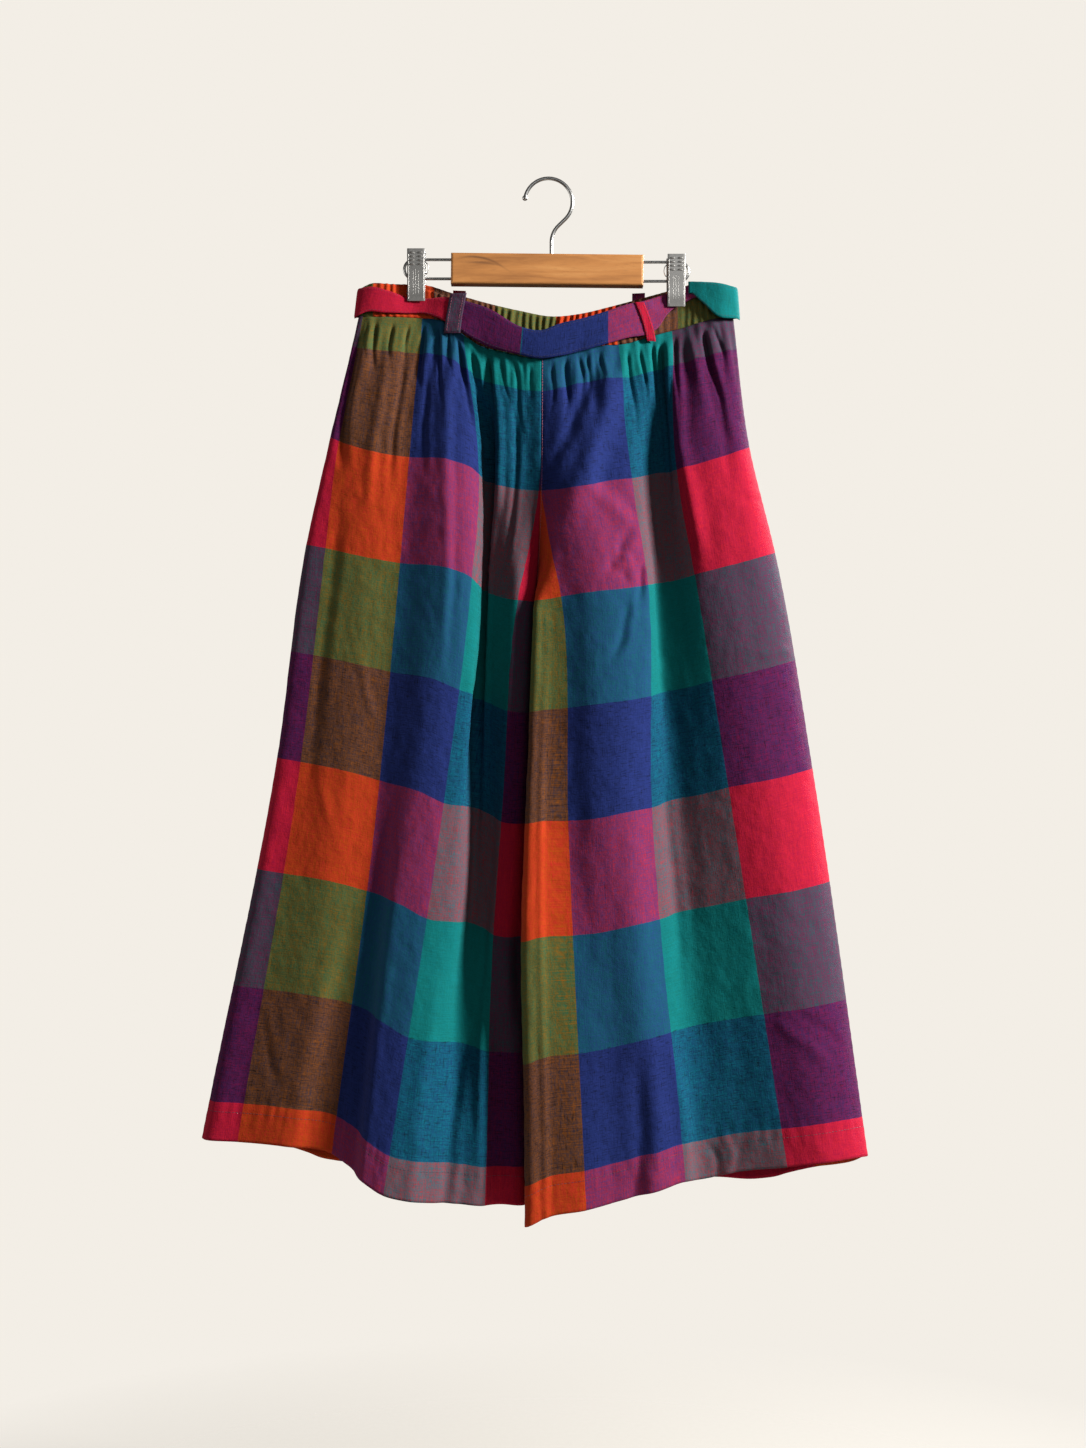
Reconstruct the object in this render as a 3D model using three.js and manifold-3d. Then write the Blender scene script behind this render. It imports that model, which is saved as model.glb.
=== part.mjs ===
// Wide-leg check pants, clipped to a hanger and hung by its hook.
// Sizes in millimetres: X runs to the viewer's right, Y away from the viewer, Z up from the inner crest of the hook.
// Each cloth piece is a thin wall lofted through named lines that run down the cloth.
import * as THREE from "three";
import Module from "manifold-3d";

// Cloth
const CLOTH_WALL = 1.2; // linen, one layer
const HEM_WALL = 2.2; // linen turned up on the inside
const SEAM_HALF_GAP = 0.2; // from a seam's plane to the edge of each piece
const LEG_HALF_GAP = 1.2; // from the middle between the legs to each inner seam, just below the fork
const BELT_WALL = 1.6; // sash belt, two layers
const GATHER_HEIGHT = 1.8; // from the mean surface to the crest of a gather
const GATHERS_PER_PANEL = 8;
const GATHERS_PER_CASING = 20;
const GATHER_END = 1.7; // cloth row where the gathers have faded out
const CASING_COLUMNS = 80;
const PANEL_COLUMNS = 32;

// Cloth rows, counted in check bands down from the waist: the lines below give a place on each of them.
const LEVELS = [0.67, 2, 3, 5, 8.34];
const FORK_ROW = 2.95; // where the centre seam ends and the two inner seams begin
const HEM_ROW = 7.98; // top of the turned-up hem
const PANEL_ROWS = [0.67, 0.82, 1, 1.25, 1.6, 2, 2.5, 2.95, 3.4, 4, 4.7, 5.4, 6.1, 6.8, 7.4, 7.96, 8, 8.34];

// Hanger
const WIRE_RADIUS = 2; // hook wire
const HOOK_RADIUS = 26.2; // to the wire's middle
const HOOK_TIP_BALL = 3;
const BAR = { width: 211, height: 34, depth: 20, x: -2, z: -99.5, round: 2.5, tilt: 0.6 };
const RAIL_RADIUS = 1.6;
const RAIL_BORE_DEPTH = 30;
const CLIP = { width: 19.5, height: 57, plate: 1.2, pinch: 6.8, throat: 8.6, spread: 11 };
const CLIP_LEFT = { x: -145.6, top: -77.5, railTop: -87.5, railLow: -108.5, railEnd: -160.6 };
const CLIP_RIGHT = { x: 139.5, top: -83.5, railTop: -90.2, railLow: -111.2, railEnd: 155.1 };
const CLEARANCE = 0.3;

// Front of the wearer's right leg, from the side seam to the inner seam.
const FRONT_RIGHT = [
  { line: "side_seam", across: [-208, -239, -266, -298, -381], height: [-150, -284, -402, -634, -1052], depth: [0, 0, 0, 0, 0] },
  { line: "side_band", across: [-203, -230, -244, -271, -340], height: [-151, -288, -406, -639, -1054], depth: [-7, -13, -17, -19, -18] },
  { line: "thigh", across: [-172, -190, -202, -223, -286], height: [-152, -301, -416, -648, -1057], depth: [-8, -21, -25, -28, -28] },
  { line: "amber_edge", across: [-139, -152, -162, -184, -236], height: [-153, -307, -423, -659, -1065], depth: [-4, -22, -26, -28, -27] },
  { line: "crest", across: [-118, -114, -111, -139, -208], height: [-156, -310, -429, -671, -1085], depth: [-8, -32, -40, -42, -47] },
  { line: "blue_edge", across: [-96, -83, -85, -114, -178], height: [-171, -320, -439, -683, -1104], depth: [-11, -23, -33, -39, -57] },
  { line: "lip", across: [-87, -77, -80, -88, -146], height: [-177, -325, -444, -687, -1112], depth: [-12, -17, -28, -29, -51] },
  { line: "trough", across: [-78, -68, -69, -76, -112], height: [-183, -331, -451, -691, -1117], depth: [-11, 0, 4, 2, -35] },
  { line: "second_crest", across: [-48, -49, -56, -61, -91], height: [-192, -338, -458, -698, -1120], depth: [-14, -14, -8, -10, -24] },
  { line: "green_edge", across: [-21, -24, -34, -51, -73], height: [-198, -342, -463, -704, -1122], depth: [-17, -16, -22, -22, -16] },
  { line: "inner_seam", across: [-8.5, -9.5, -13.5, -20.5, -27], height: [-199, -343, -464, -706, -1126], depth: [-18, -18, -3, 0, 0] },
];

// Front of the wearer's left leg, from the inner seam to the side seam.
const FRONT_LEFT = [
  { line: "inner_seam", across: [-8.5, -9.5, -13.5, -19.5, -22], height: [-199, -343, -464, -705, -1141], depth: [-18, -18, -3, 0, 0] },
  { line: "inner_crest", across: [0, 0, -4, -11, -6], height: [-198, -343, -463, -703, -1131], depth: [-18, -26, -28, -46, -62] },
  { line: "amber_edge", across: [10, 10, 13, 21, 40], height: [-195, -343, -460, -702, -1121], depth: [-18, -32, -36, -42, -53] },
  { line: "inner_trough", across: [31, 39, 49, 52, 78], height: [-188, -340, -455, -699, -1112], depth: [-16, -36, -45, -51, -50] },
  { line: "crest", across: [56, 64, 85, 87, 119], height: [-185, -333, -451, -692, -1101], depth: [-16, -28, -40, -48, -45] },
  { line: "blue_edge", across: [80, 90, 107, 111, 146], height: [-183, -330, -447, -688, -1094], depth: [-13, -21, -31, -35, -32] },
  { line: "trough", across: [113, 122, 119, 135, 165], height: [-173, -322, -444, -680, -1094], depth: [-7, -5, -12, -21, -22] },
  { line: "rise", across: [126, 130, 140, 165, 208], height: [-169, -322, -441, -674, -1085], depth: [-5, -11, -20, -30, -24] },
  { line: "green_edge", across: [142, 142, 158, 194, 258], height: [-165, -320, -436, -666, -1078], depth: [-4, -23, -32, -40, -35] },
  { line: "hip", across: [170, 181, 201, 242, 303], height: [-157, -309, -425, -657, -1072], depth: [-8, -27, -37, -43, -38] },
  { line: "side_band", across: [192, 212, 235, 276, 334], height: [-152, -298, -415, -649, -1070], depth: [-7, -18, -26, -27, -24] },
  { line: "side_seam", across: [202, 220, 248, 289, 350], height: [-150, -294, -410, -646, -1072], depth: [0, 0, 0, 0, 0] },
];

// Back of the wearer's right leg, from the side seam to the inner seam.
const BACK_RIGHT = [
  { line: "side_seam", across: [-208, -239, -266, -298, -381], height: [-150, -284, -402, -634, -1052], depth: [0, 0, 0, 0, 0] },
  { line: "side_band", across: [-203, -231, -248, -276, -348], height: [-150, -288, -406, -640, -1058], depth: [7, 12, 14, 14, 10] },
  { line: "hip", across: [-172, -195, -208, -229, -292], height: [-151, -296, -414, -650, -1067], depth: [7, 22, 24, 26, 26] },
  { line: "fold", across: [-139, -150, -160, -178, -234], height: [-153, -304, -422, -660, -1081], depth: [3, 17, 13, 12, 14] },
  { line: "ridge", across: [-110, -116, -118, -132, -180], height: [-161, -312, -430, -670, -1085], depth: [9, 26, 28, 29, 29] },
  { line: "hollow", across: [-80, -84, -84, -94, -130], height: [-172, -322, -438, -680, -1094], depth: [12, 17, 15, 16, 14] },
  { line: "seat", across: [-44, -46, -48, -62, -82], height: [-182, -332, -446, -690, -1106], depth: [16, 27, 26, 26, 28] },
  { line: "inner_band", across: [-20, -20, -28, -38, -46], height: [-186, -339, -458, -698, -1118], depth: [18, 25, 18, 12, 12] },
  { line: "inner_seam", across: [-8.5, -9.5, -13.5, -20.5, -27], height: [-187, -343, -464, -706, -1126], depth: [18, 22, 3, 0, 0] },
];

// Back of the wearer's left leg, from the inner seam to the side seam.
const BACK_LEFT = [
  { line: "inner_seam", across: [-8.5, -9.5, -13.5, -19.5, -22], height: [-187, -343, -464, -705, -1141], depth: [18, 22, 3, 0, 0] },
  { line: "inner_band", across: [3, 2, 2, 2, 0], height: [-186, -339, -458, -700, -1134], depth: [18, 25, 18, 14, 14] },
  { line: "seat", across: [30, 36, 44, 54, 64], height: [-181, -332, -450, -694, -1124], depth: [16, 27, 26, 27, 28] },
  { line: "hollow", across: [68, 74, 82, 92, 118], height: [-172, -324, -442, -686, -1112], depth: [12, 16, 14, 14, 12] },
  { line: "ridge", across: [102, 110, 120, 136, 176], height: [-162, -316, -432, -678, -1102], depth: [9, 26, 28, 29, 29] },
  { line: "fold", across: [140, 148, 158, 182, 230], height: [-154, -308, -426, -670, -1101], depth: [3, 15, 12, 14, 16] },
  { line: "hip", across: [170, 186, 203, 236, 294], height: [-151, -302, -420, -662, -1090], depth: [7, 22, 24, 26, 24] },
  { line: "side_band", across: [194, 212, 235, 277, 337], height: [-150, -297, -414, -652, -1080], depth: [7, 12, 14, 14, 10] },
  { line: "side_seam", across: [202, 220, 248, 289, 350], height: [-150, -294, -410, -646, -1072], depth: [0, 0, 0, 0, 0] },
];

// Top edges of the waistband casing: it hangs between the clips and is pinched flat under them.
const FRONT_TOP = [
  { across: -206, height: -119, depth: 0 },
  { across: -198, height: -116, depth: -5 },
  { across: -172, height: -115, depth: -5 },
  { across: -156, height: -116, depth: -1.3 },
  { across: -135, height: -120, depth: -1.3 },
  { across: -112, height: -129, depth: -6 },
  { across: -65, height: -150, depth: -14 },
  { across: -32, height: -165, depth: -17 },
  { across: -4, height: -170, depth: -18 },
  { across: 34, height: -159, depth: -17 },
  { across: 67, height: -148, depth: -14 },
  { across: 104, height: -134, depth: -6 },
  { across: 129, height: -125, depth: -1.3 },
  { across: 150, height: -121, depth: -1.3 },
  { across: 172, height: -121, depth: -5 },
  { across: 194, height: -122, depth: -5 },
  { across: 201, height: -120, depth: 0 },
];
const BACK_TOP = [
  { across: -206, height: -119, depth: 0 },
  { across: -198, height: -113, depth: 5 },
  { across: -172, height: -113, depth: 5 },
  { across: -156, height: -114, depth: 1.3 },
  { across: -135, height: -115, depth: 1.3 },
  { across: -109, height: -122, depth: 6 },
  { across: -61, height: -134, depth: 14 },
  { across: -32, height: -140, depth: 17 },
  { across: 4, height: -146, depth: 18 },
  { across: 36, height: -143, depth: 17 },
  { across: 68, height: -136, depth: 14 },
  { across: 104, height: -128, depth: 6 },
  { across: 129, height: -122, depth: 1.3 },
  { across: 150, height: -116, depth: 1.3 },
  { across: 172, height: -114, depth: 5 },
  { across: 194, height: -117, depth: 5 },
  { across: 201, height: -120, depth: 0 },
];

// Edges of the sash belt: over the front, over the back, and the end that laps over at the wearer's left side.
const BELT_FRONT = {
  across: [-206, -199, -179, -156, -135, -109, -89, -68, -29, -11, 9, 38, 61, 86, 107, 118, 129, 149, 160, 190],
  top: [-120, -119, -123, -130, -131, -131, -137, -145, -166, -169, -162, -155, -148, -139, -134, -130, -126, -119, -114, -118],
  bottom: [-152, -148, -148, -148, -148, -159, -172, -184, -196, -200, -198, -191, -184, -176, -171, -164, -149, -136, -131, -136],
};
const BELT_BACK = {
  across: [-206, -190, -150, -110, -60, 0, 60, 110, 150, 185, 201],
  top: [-120, -118, -121, -127, -141, -151, -143, -131, -123, -119, -119],
  bottom: [-150, -148, -150, -158, -172, -182, -174, -162, -152, -150, -151],
};
const BELT_FLAP = { across: [159, 171, 183, 201], top: [-113, -114, -115, -119], bottom: [-126, -139, -152, -154] };
const BELT_FLARE = 1.4; // the lower edge stands this much further off
const BELT_START = 0.95; // as a share of the front, under the lap
const FLAP_END = 0.885; // as a share of the front
const LOOP_BEND = 1.2; // how far a loop's ends bend in

// Belt loops: middle of the top end, the bend and the bottom end.
const LOOPS = [
  { name: "loop_front_right", face: "front", across: [-99, -103, -106], height: [-127, -149, -171], width: 18, bend: 1 },
  { name: "loop_front_left", face: "front", across: [99, 107, 112], height: [-137, -158, -179], width: 10, bend: 0 },
  { name: "loop_back_right", face: "back", across: [-99, -99, -99], height: [-119, -144, -169], width: 14, bend: 1 },
  { name: "loop_back_left", face: "back", across: [99, 99, 99], height: [-122, -147, -172], width: 14, bend: 1 },
];

const smoothstep = (from, to, t) => {
  const k = Math.min(1, Math.max(0, (t - from) / (to - from)));
  return k * k * (3 - 2 * k);
};
const mix = (a, b, t) => a + (b - a) * t;

// Slopes of a smooth curve through values at uneven knots.
function slopes(knots, values, first, last) {
  const n = knots.length;
  const rate = (i) => (values[i + 1] - values[i]) / (knots[i + 1] - knots[i]);
  return values.map((_, i) => {
    if (i === 0) return first ?? rate(0);
    if (i === n - 1) return last ?? rate(n - 2);
    const before = knots[i] - knots[i - 1];
    const after = knots[i + 1] - knots[i];
    return (rate(i - 1) * after + rate(i) * before) / (before + after);
  });
}

function evaluate(knots, values, slope, t) {
  let i = 0;
  while (i < knots.length - 2 && t > knots[i + 1]) i += 1;
  const h = knots[i + 1] - knots[i];
  const s = (t - knots[i]) / h;
  const a = 1 + 2 * s;
  return (
    values[i] * a * (1 - s) ** 2 +
    slope[i] * h * s * (1 - s) ** 2 +
    values[i + 1] * s * s * (3 - 2 * s) -
    slope[i + 1] * h * s * s * (1 - s)
  );
}

const along = (knots, values, t) => evaluate(knots, values, slopes(knots, values), t);

// A smooth curve through points with given end directions, cut into equal lengths.
function curve(points, startWay, endWay, pieces) {
  const knots = [0];
  for (let i = 1; i < points.length; i += 1) {
    knots.push(knots[i - 1] + Math.hypot(...points[i].map((c, k) => c - points[i - 1][k])));
  }
  const slope = [0, 1, 2].map((k) => slopes(knots, points.map((p) => p[k]), startWay[k], endWay[k]));
  const fine = [];
  for (let i = 0; i < points.length - 1; i += 1) {
    for (let j = 0; j < 14; j += 1) fine.push(mix(knots[i], knots[i + 1], j / 14));
  }
  fine.push(knots[knots.length - 1]);
  return equalLengths(
    fine.map((t) => [0, 1, 2].map((k) => evaluate(knots, points.map((p) => p[k]), slope[k], t))),
    pieces,
  );
}

function equalLengths(points, pieces) {
  const run = [0];
  for (let i = 1; i < points.length; i += 1) {
    run.push(run[i - 1] + Math.hypot(...points[i].map((c, k) => c - points[i - 1][k])));
  }
  const out = [];
  let i = 0;
  for (let j = 0; j <= pieces; j += 1) {
    const want = (run[run.length - 1] * j) / pieces;
    while (i < points.length - 2 && run[i + 1] < want) i += 1;
    const t = (want - run[i]) / (run[i + 1] - run[i]);
    out.push(points[i].map((c, k) => mix(c, points[i + 1][k], t)));
  }
  return out;
}

// The gathers are pressed flat under the clips.
const gatherHeight = (x) => {
  const near = (clip) => Math.exp(-(((x - clip.x) / 24) ** 2));
  return GATHER_HEIGHT * (1 - 0.8 * near(CLIP_LEFT) - 0.8 * near(CLIP_RIGHT));
};

// A closed wall between an outer and an inner grid of points.
function shell(outer, inner) {
  const rows = outer.length;
  const columns = outer[0].length;
  const position = [...outer.flat(), ...inner.flat()].flat();
  const index = [];
  const id = (r, c, layer) => layer * rows * columns + r * columns + c;
  const quad = (a, b, c, d) => index.push(a, b, c, a, c, d);
  for (let r = 0; r < rows - 1; r += 1) {
    for (let c = 0; c < columns - 1; c += 1) {
      quad(id(r, c, 0), id(r + 1, c, 0), id(r + 1, c + 1, 0), id(r, c + 1, 0));
      quad(id(r, c, 1), id(r, c + 1, 1), id(r + 1, c + 1, 1), id(r + 1, c, 1));
    }
  }
  for (let c = 0; c < columns - 1; c += 1) {
    quad(id(0, c, 0), id(0, c + 1, 0), id(0, c + 1, 1), id(0, c, 1));
    quad(id(rows - 1, c, 0), id(rows - 1, c, 1), id(rows - 1, c + 1, 1), id(rows - 1, c + 1, 0));
  }
  for (let r = 0; r < rows - 1; r += 1) {
    quad(id(r, 0, 0), id(r, 0, 1), id(r + 1, 0, 1), id(r + 1, 0, 0));
    quad(id(r, columns - 1, 0), id(r + 1, columns - 1, 0), id(r + 1, columns - 1, 1), id(r, columns - 1, 1));
  }
  return outwards(position, index);
}

function outwards(position, index) {
  let volume = 0;
  const at = (i) => new THREE.Vector3(...position.slice(3 * i, 3 * i + 3));
  for (let i = 0; i < index.length; i += 3) {
    volume += at(index[i]).dot(at(index[i + 1]).cross(at(index[i + 2])));
  }
  if (volume < 0) {
    for (let i = 0; i < index.length; i += 3) {
      [index[i + 1], index[i + 2]] = [index[i + 2], index[i + 1]];
    }
  }
  const geometry = new THREE.BufferGeometry();
  geometry.setAttribute("position", new THREE.Float32BufferAttribute(position, 3));
  geometry.setIndex(index);
  geometry.computeVertexNormals();
  return geometry;
}

// Directions straight out of a grid of points whose columns run to the right and whose rows run down.
function directions(grid, face) {
  return grid.map((row, r) =>
    row.map((_, c) => {
      const right = grid[r][Math.min(c + 1, row.length - 1)].map((v, k) => v - grid[r][Math.max(c - 1, 0)][k]);
      const low = grid[Math.min(r + 1, grid.length - 1)][c];
      const high = grid[Math.max(r - 1, 0)][c];
      const down = low.map((v, k) => v - high[k]);
      const n = [
        right[1] * down[2] - right[2] * down[1],
        right[2] * down[0] - right[0] * down[2],
        right[0] * down[1] - right[1] * down[0],
      ];
      if (r === 0) n[2] = 0;
      const size = Math.hypot(...n) * (face === "front" ? -1 : 1);
      return n.map((v) => v / size);
    }),
  );
}

// One panel of a leg. leg is -1 on the viewer's left and 1 on the right, out is -1 at the front and 1 at the back.
function panelGrid(lines, leg, out, gathered) {
  return PANEL_ROWS.map((row) => {
    const points = lines.map((l) => [
      along(LEVELS, l.across, row),
      along(LEVELS, l.depth, row),
      along(LEVELS, l.height, row),
    ]);
    const turn = smoothstep(2.1, FORK_ROW, row) * 0.5 * Math.PI;
    const side = leg < 0 ? points[0] : points[points.length - 1];
    const inner = leg < 0 ? points[points.length - 1] : points[0];
    side[1] = out * SEAM_HALF_GAP;
    const half = 0.5 * CLOTH_WALL;
    inner[0] += leg * (SEAM_HALF_GAP + (LEG_HALF_GAP - SEAM_HALF_GAP) * smoothstep(2.1, 3, row));
    inner[1] = out * Math.max(out * inner[1], SEAM_HALF_GAP + half * Math.cos(turn));
    const innerWay = [Math.cos(turn), leg * out * Math.sin(turn), 0];
    const sideWay = [0, -leg * out, 0];
    const made =
      leg < 0
        ? curve(points, sideWay, innerWay, PANEL_COLUMNS)
        : curve(points, innerWay, sideWay, PANEL_COLUMNS);
    if (!gathered) return made;
    const fade = 1 - smoothstep(LEVELS[0], GATHER_END, row);
    return made.map((p, c) => {
      const u = c / PANEL_COLUMNS;
      const ends = Math.min(1, 10 * u, 10 * (1 - u));
      const uneven = 0.75 + 0.25 * Math.sin(9.1 * u + 2 * leg + out);
      const wave = Math.cos(2 * Math.PI * GATHERS_PER_PANEL * u);
      return [p[0], p[1] + gatherHeight(p[0]) * fade * ends * uneven * wave, p[2]];
    });
  });
}

function panel(lines, leg, out) {
  const grid = panelGrid(lines, leg, out, true);
  const ways = directions(grid, out < 0 ? "front" : "back");
  const half = 0.5 * CLOTH_WALL;
  grid.forEach((points, r) => {
    const turn = smoothstep(2.1, FORK_ROW, PANEL_ROWS[r]) * 0.5 * Math.PI;
    const last = points.length - 1;
    ways[r][leg < 0 ? 0 : last] = [leg, 0, 0];
    ways[r][leg < 0 ? last : 0] = [-leg * Math.sin(turn), out * Math.cos(turn), 0];
  });
  const outer = grid.map((row, r) => row.map((p, c) => p.map((v, k) => v + ways[r][c][k] * half)));
  const inner = grid.map((row, r) => {
    const wall = PANEL_ROWS[r] > HEM_ROW ? HEM_WALL - half : half;
    return row.map((p, c) => p.map((v, k) => v - ways[r][c][k] * wall));
  });
  return shell(outer, inner);
}

// Seam line between a face's two panels and its waistband casing, and the casing's top line.
function casingLines(face) {
  const out = face === "front" ? -1 : 1;
  const [right, left, top] = face === "front" ? [FRONT_RIGHT, FRONT_LEFT, FRONT_TOP] : [BACK_RIGHT, BACK_LEFT, BACK_TOP];
  const low = [...panelGrid(right, -1, out, false)[0], ...panelGrid(left, 1, out, false)[0]];
  const high = curve(
    top.map((p, i) => [p.across, i === 0 || i === top.length - 1 ? out * SEAM_HALF_GAP : p.depth, p.height]),
    [0, out, 0],
    [0, -out, 0],
    CASING_COLUMNS,
  );
  const raised = low.map((p) => [p[0], p[1], p[2] + CLEARANCE]);
  return { low: equalLengths(raised, CASING_COLUMNS), high };
}

const CASING = { front: casingLines("front"), back: casingLines("back") };

// A place on the casing: share runs from the viewer's left to right, lift from the seam to the top edge.
function onCasing(face, share, lift) {
  const { low, high } = CASING[face];
  const at = Math.min(0.99999, Math.max(0, share)) * CASING_COLUMNS;
  const i = Math.floor(at);
  const eased = [lift, 1 - (1 - lift) ** 2, lift];
  return [0, 1, 2].map((k) => mix(mix(low[i][k], low[i + 1][k], at - i), mix(high[i][k], high[i + 1][k], at - i), eased[k]));
}

function casing(face) {
  const lifts = [1, 0.5, 0];
  const out = face === "front" ? -1 : 1;
  const grid = lifts.map((lift) =>
    Array.from({ length: CASING_COLUMNS + 1 }, (_, c) => {
      const u = c / CASING_COLUMNS;
      const p = onCasing(face, u, lift);
      const ends = Math.min(1, 14 * u, 14 * (1 - u));
      const wave = Math.cos(2 * Math.PI * GATHERS_PER_CASING * u);
      const uneven = 0.7 + 0.3 * Math.sin(13 * u + lift);
      return [p[0], p[1] + 0.7 * gatherHeight(p[0]) * ends * wave * uneven, p[2]];
    }),
  );
  const ways = directions(grid, face);
  ways.forEach((row) => {
    row.forEach((n) => {
      const size = Math.hypot(n[0], n[1]);
      n.splice(0, 3, n[0] / size, n[1] / size, 0);
    });
    row[0] = [-1, 0, 0];
    row[row.length - 1] = [1, 0, 0];
  });
  const half = 0.5 * CLOTH_WALL;
  const offset = (sign) => grid.map((row, r) => row.map((p, c) => p.map((v, k) => v + sign * half * ways[r][c][k])));
  return shell(offset(1), offset(-1));
}

const liftOf = (face, share, height) => {
  const low = onCasing(face, share, 0)[2];
  return (height - low) / (onCasing(face, share, 1)[2] - low);
};

// How far the middle of the belt stands off the middle of the casing.
const beltStandOff = (x) => gatherHeight(x) + 0.5 * CLOTH_WALL + CLEARANCE + 0.3 + 0.5 * BELT_WALL;

// The belt's stations: front from under the lap to the side, round the back, and the lapping end.
function beltGrid() {
  const stations = [];
  for (let i = 0; i <= 46; i += 1) stations.push({ face: "front", edges: BELT_FRONT, share: mix(BELT_START, 0, i / 46), lap: 0 });
  for (let i = 1; i <= 46; i += 1) stations.push({ face: "back", edges: BELT_BACK, share: mix(0, 0.996, i / 46), lap: smoothstep(38, 45, i) });
  for (let i = 0; i <= 7; i += 1) stations.push({ face: "front", edges: BELT_FLAP, share: mix(1, FLAP_END, i / 7), lap: 1 });
  const path = stations.map((s) => onCasing(s.face, s.share, 0.5));
  return stations.map((s, i) => {
    const ahead = path[Math.min(i + 1, path.length - 1)];
    const behind = path[Math.max(i - 1, 0)];
    const size = Math.hypot(ahead[0] - behind[0], ahead[1] - behind[1]);
    const n = [-(ahead[1] - behind[1]) / size, (ahead[0] - behind[0]) / size];
    const x = Math.max(s.edges.across[0], Math.min(s.edges.across[s.edges.across.length - 1], path[i][0]));
    const off = beltStandOff(x) + s.lap * (BELT_WALL + CLEARANCE + 0.1);
    return [1, 0.5, 0].map((share) => {
      const height = mix(along(s.edges.across, s.edges.bottom, x), along(s.edges.across, s.edges.top, x), share);
      const p = onCasing(s.face, s.share, liftOf(s.face, s.share, height));
      const flare = off + BELT_FLARE * (1 - share) * (gatherHeight(x) / GATHER_HEIGHT);
      return {
        face: s.face,
        lap: s.lap,
        point: [p[0] + n[0] * flare, p[1] + n[1] * flare, height],
        way: [n[0], n[1], 0],
      };
    });
  });
}

const BELT = beltGrid();
const beltLayer = (sign) => BELT.map((row) => row.map((g) => g.point.map((v, k) => v + sign * 0.5 * BELT_WALL * g.way[k])));
const belt = () => shell(beltLayer(1), beltLayer(-1));

// Y of the belt's outer face at a place.
function beltFace(face, x, z) {
  const outer = beltLayer(1);
  const i = outer.findIndex((row, k) => {
    const next = outer[k + 1];
    return next && BELT[k][0].face === face && BELT[k][0].lap < 1 && (row[1][0] - x) * (next[1][0] - x) <= 0;
  });
  const t = (x - outer[i][1][0]) / (outer[i + 1][1][0] - outer[i][1][0]);
  const [top, middle, low] = [0, 1, 2].map((r) => outer[i][r].map((v, k) => mix(v, outer[i + 1][r][k], t)));
  const [high, below] = z > middle[2] ? [top, middle] : [middle, low];
  const share = Math.min(1, Math.max(0, (high[2] - z) / (high[2] - below[2])));
  return mix(high[1], below[1], share);
}

// A belt loop: a narrow strip over the belt, bent in at its ends above and below it.
function loop({ face, across, height, width, bend }) {
  const out = face === "front" ? -1 : 1;
  const grid = [0, 0.08, 0.3, 0.65, 1, 1.35, 1.7, 1.92, 2].map((t) => {
    const x = along([0, 1, 2], across, t);
    const z = along([0, 1, 2], height, t);
    const inwards = (t === 0 ? bend : 0) + (t === 2 ? 1 : 0);
    return [-0.5, 0, 0.5].map((side) => {
      const place = x + side * width;
      const off = 1.08 * (0.5 * CLOTH_WALL + CLEARANCE + 0.2) - LOOP_BEND * inwards;
      return [place, beltFace(face, place, z) + out * off, z];
    });
  });
  const layer = (sign) => grid.map((row) => row.map((p) => [p[0], p[1] + sign * 0.5 * CLOTH_WALL * out, p[2]]));
  return shell(layer(1), layer(-1));
}

const wasm = await Module();
wasm.setup();

function solid(geometry) {
  const flat = geometry.index ? geometry.toNonIndexed() : geometry;
  const places = flat.getAttribute("position").array;
  const found = new Map();
  const vertices = [];
  const triangles = [];
  for (let i = 0; i < places.length; i += 3) {
    const key = [0, 1, 2].map((k) => Math.round(places[i + k] * 1e4)).join();
    if (!found.has(key)) {
      found.set(key, vertices.length / 3);
      vertices.push(places[i], places[i + 1], places[i + 2]);
    }
    triangles.push(found.get(key));
  }
  const kept = [];
  for (let i = 0; i < triangles.length; i += 3) {
    const [a, b, c] = triangles.slice(i, i + 3);
    if (a !== b && b !== c && a !== c) kept.push(a, b, c);
  }
  return new wasm.Manifold(
    new wasm.Mesh({ numProp: 3, vertProperties: new Float32Array(vertices), triVerts: new Uint32Array(kept) }),
  );
}

function geometryOf(manifold) {
  const mesh = manifold.getMesh();
  const geometry = new THREE.BufferGeometry();
  geometry.setAttribute("position", new THREE.Float32BufferAttribute(Array.from(mesh.vertProperties), mesh.numProp));
  geometry.setIndex(Array.from(mesh.triVerts));
  geometry.computeVertexNormals();
  return geometry;
}

function wire(points, radius, sides, steps, closedEnds) {
  const section = new THREE.Shape();
  for (let i = 0; i < sides; i += 1) {
    const a = (2 * Math.PI * i) / sides;
    const place = [radius * Math.cos(a), radius * Math.sin(a)];
    if (i === 0) section.moveTo(...place);
    else section.lineTo(...place);
  }
  section.closePath();
  const path = closedEnds ?? new THREE.CatmullRomCurve3(points.map((p) => new THREE.Vector3(...p)), false, "centripetal");
  return new THREE.ExtrudeGeometry(section, { steps, extrudePath: path, bevelEnabled: false });
}

function hook() {
  const points = [];
  const centre = [-0.6, HOOK_RADIUS * -1 + WIRE_RADIUS];
  for (let a = 170; a >= -50; a -= 20) {
    const rad = (a * Math.PI) / 180;
    points.push([centre[0] + HOOK_RADIUS * Math.cos(rad), 0, centre[1] + HOOK_RADIUS * Math.sin(rad)]);
  }
  points.push([7.5, 0, -51], [3.6, 0, -61], [2.7, 0, -74], [2.6, 0, BAR.z + 0.5 * BAR.height - 14]);
  const bent = solid(wire(points, WIRE_RADIUS, 8, 38));
  const tip = new THREE.SphereGeometry(HOOK_TIP_BALL, 10, 6);
  tip.translate(...points[0]);
  return geometryOf(bent.add(solid(tip)));
}

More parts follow.
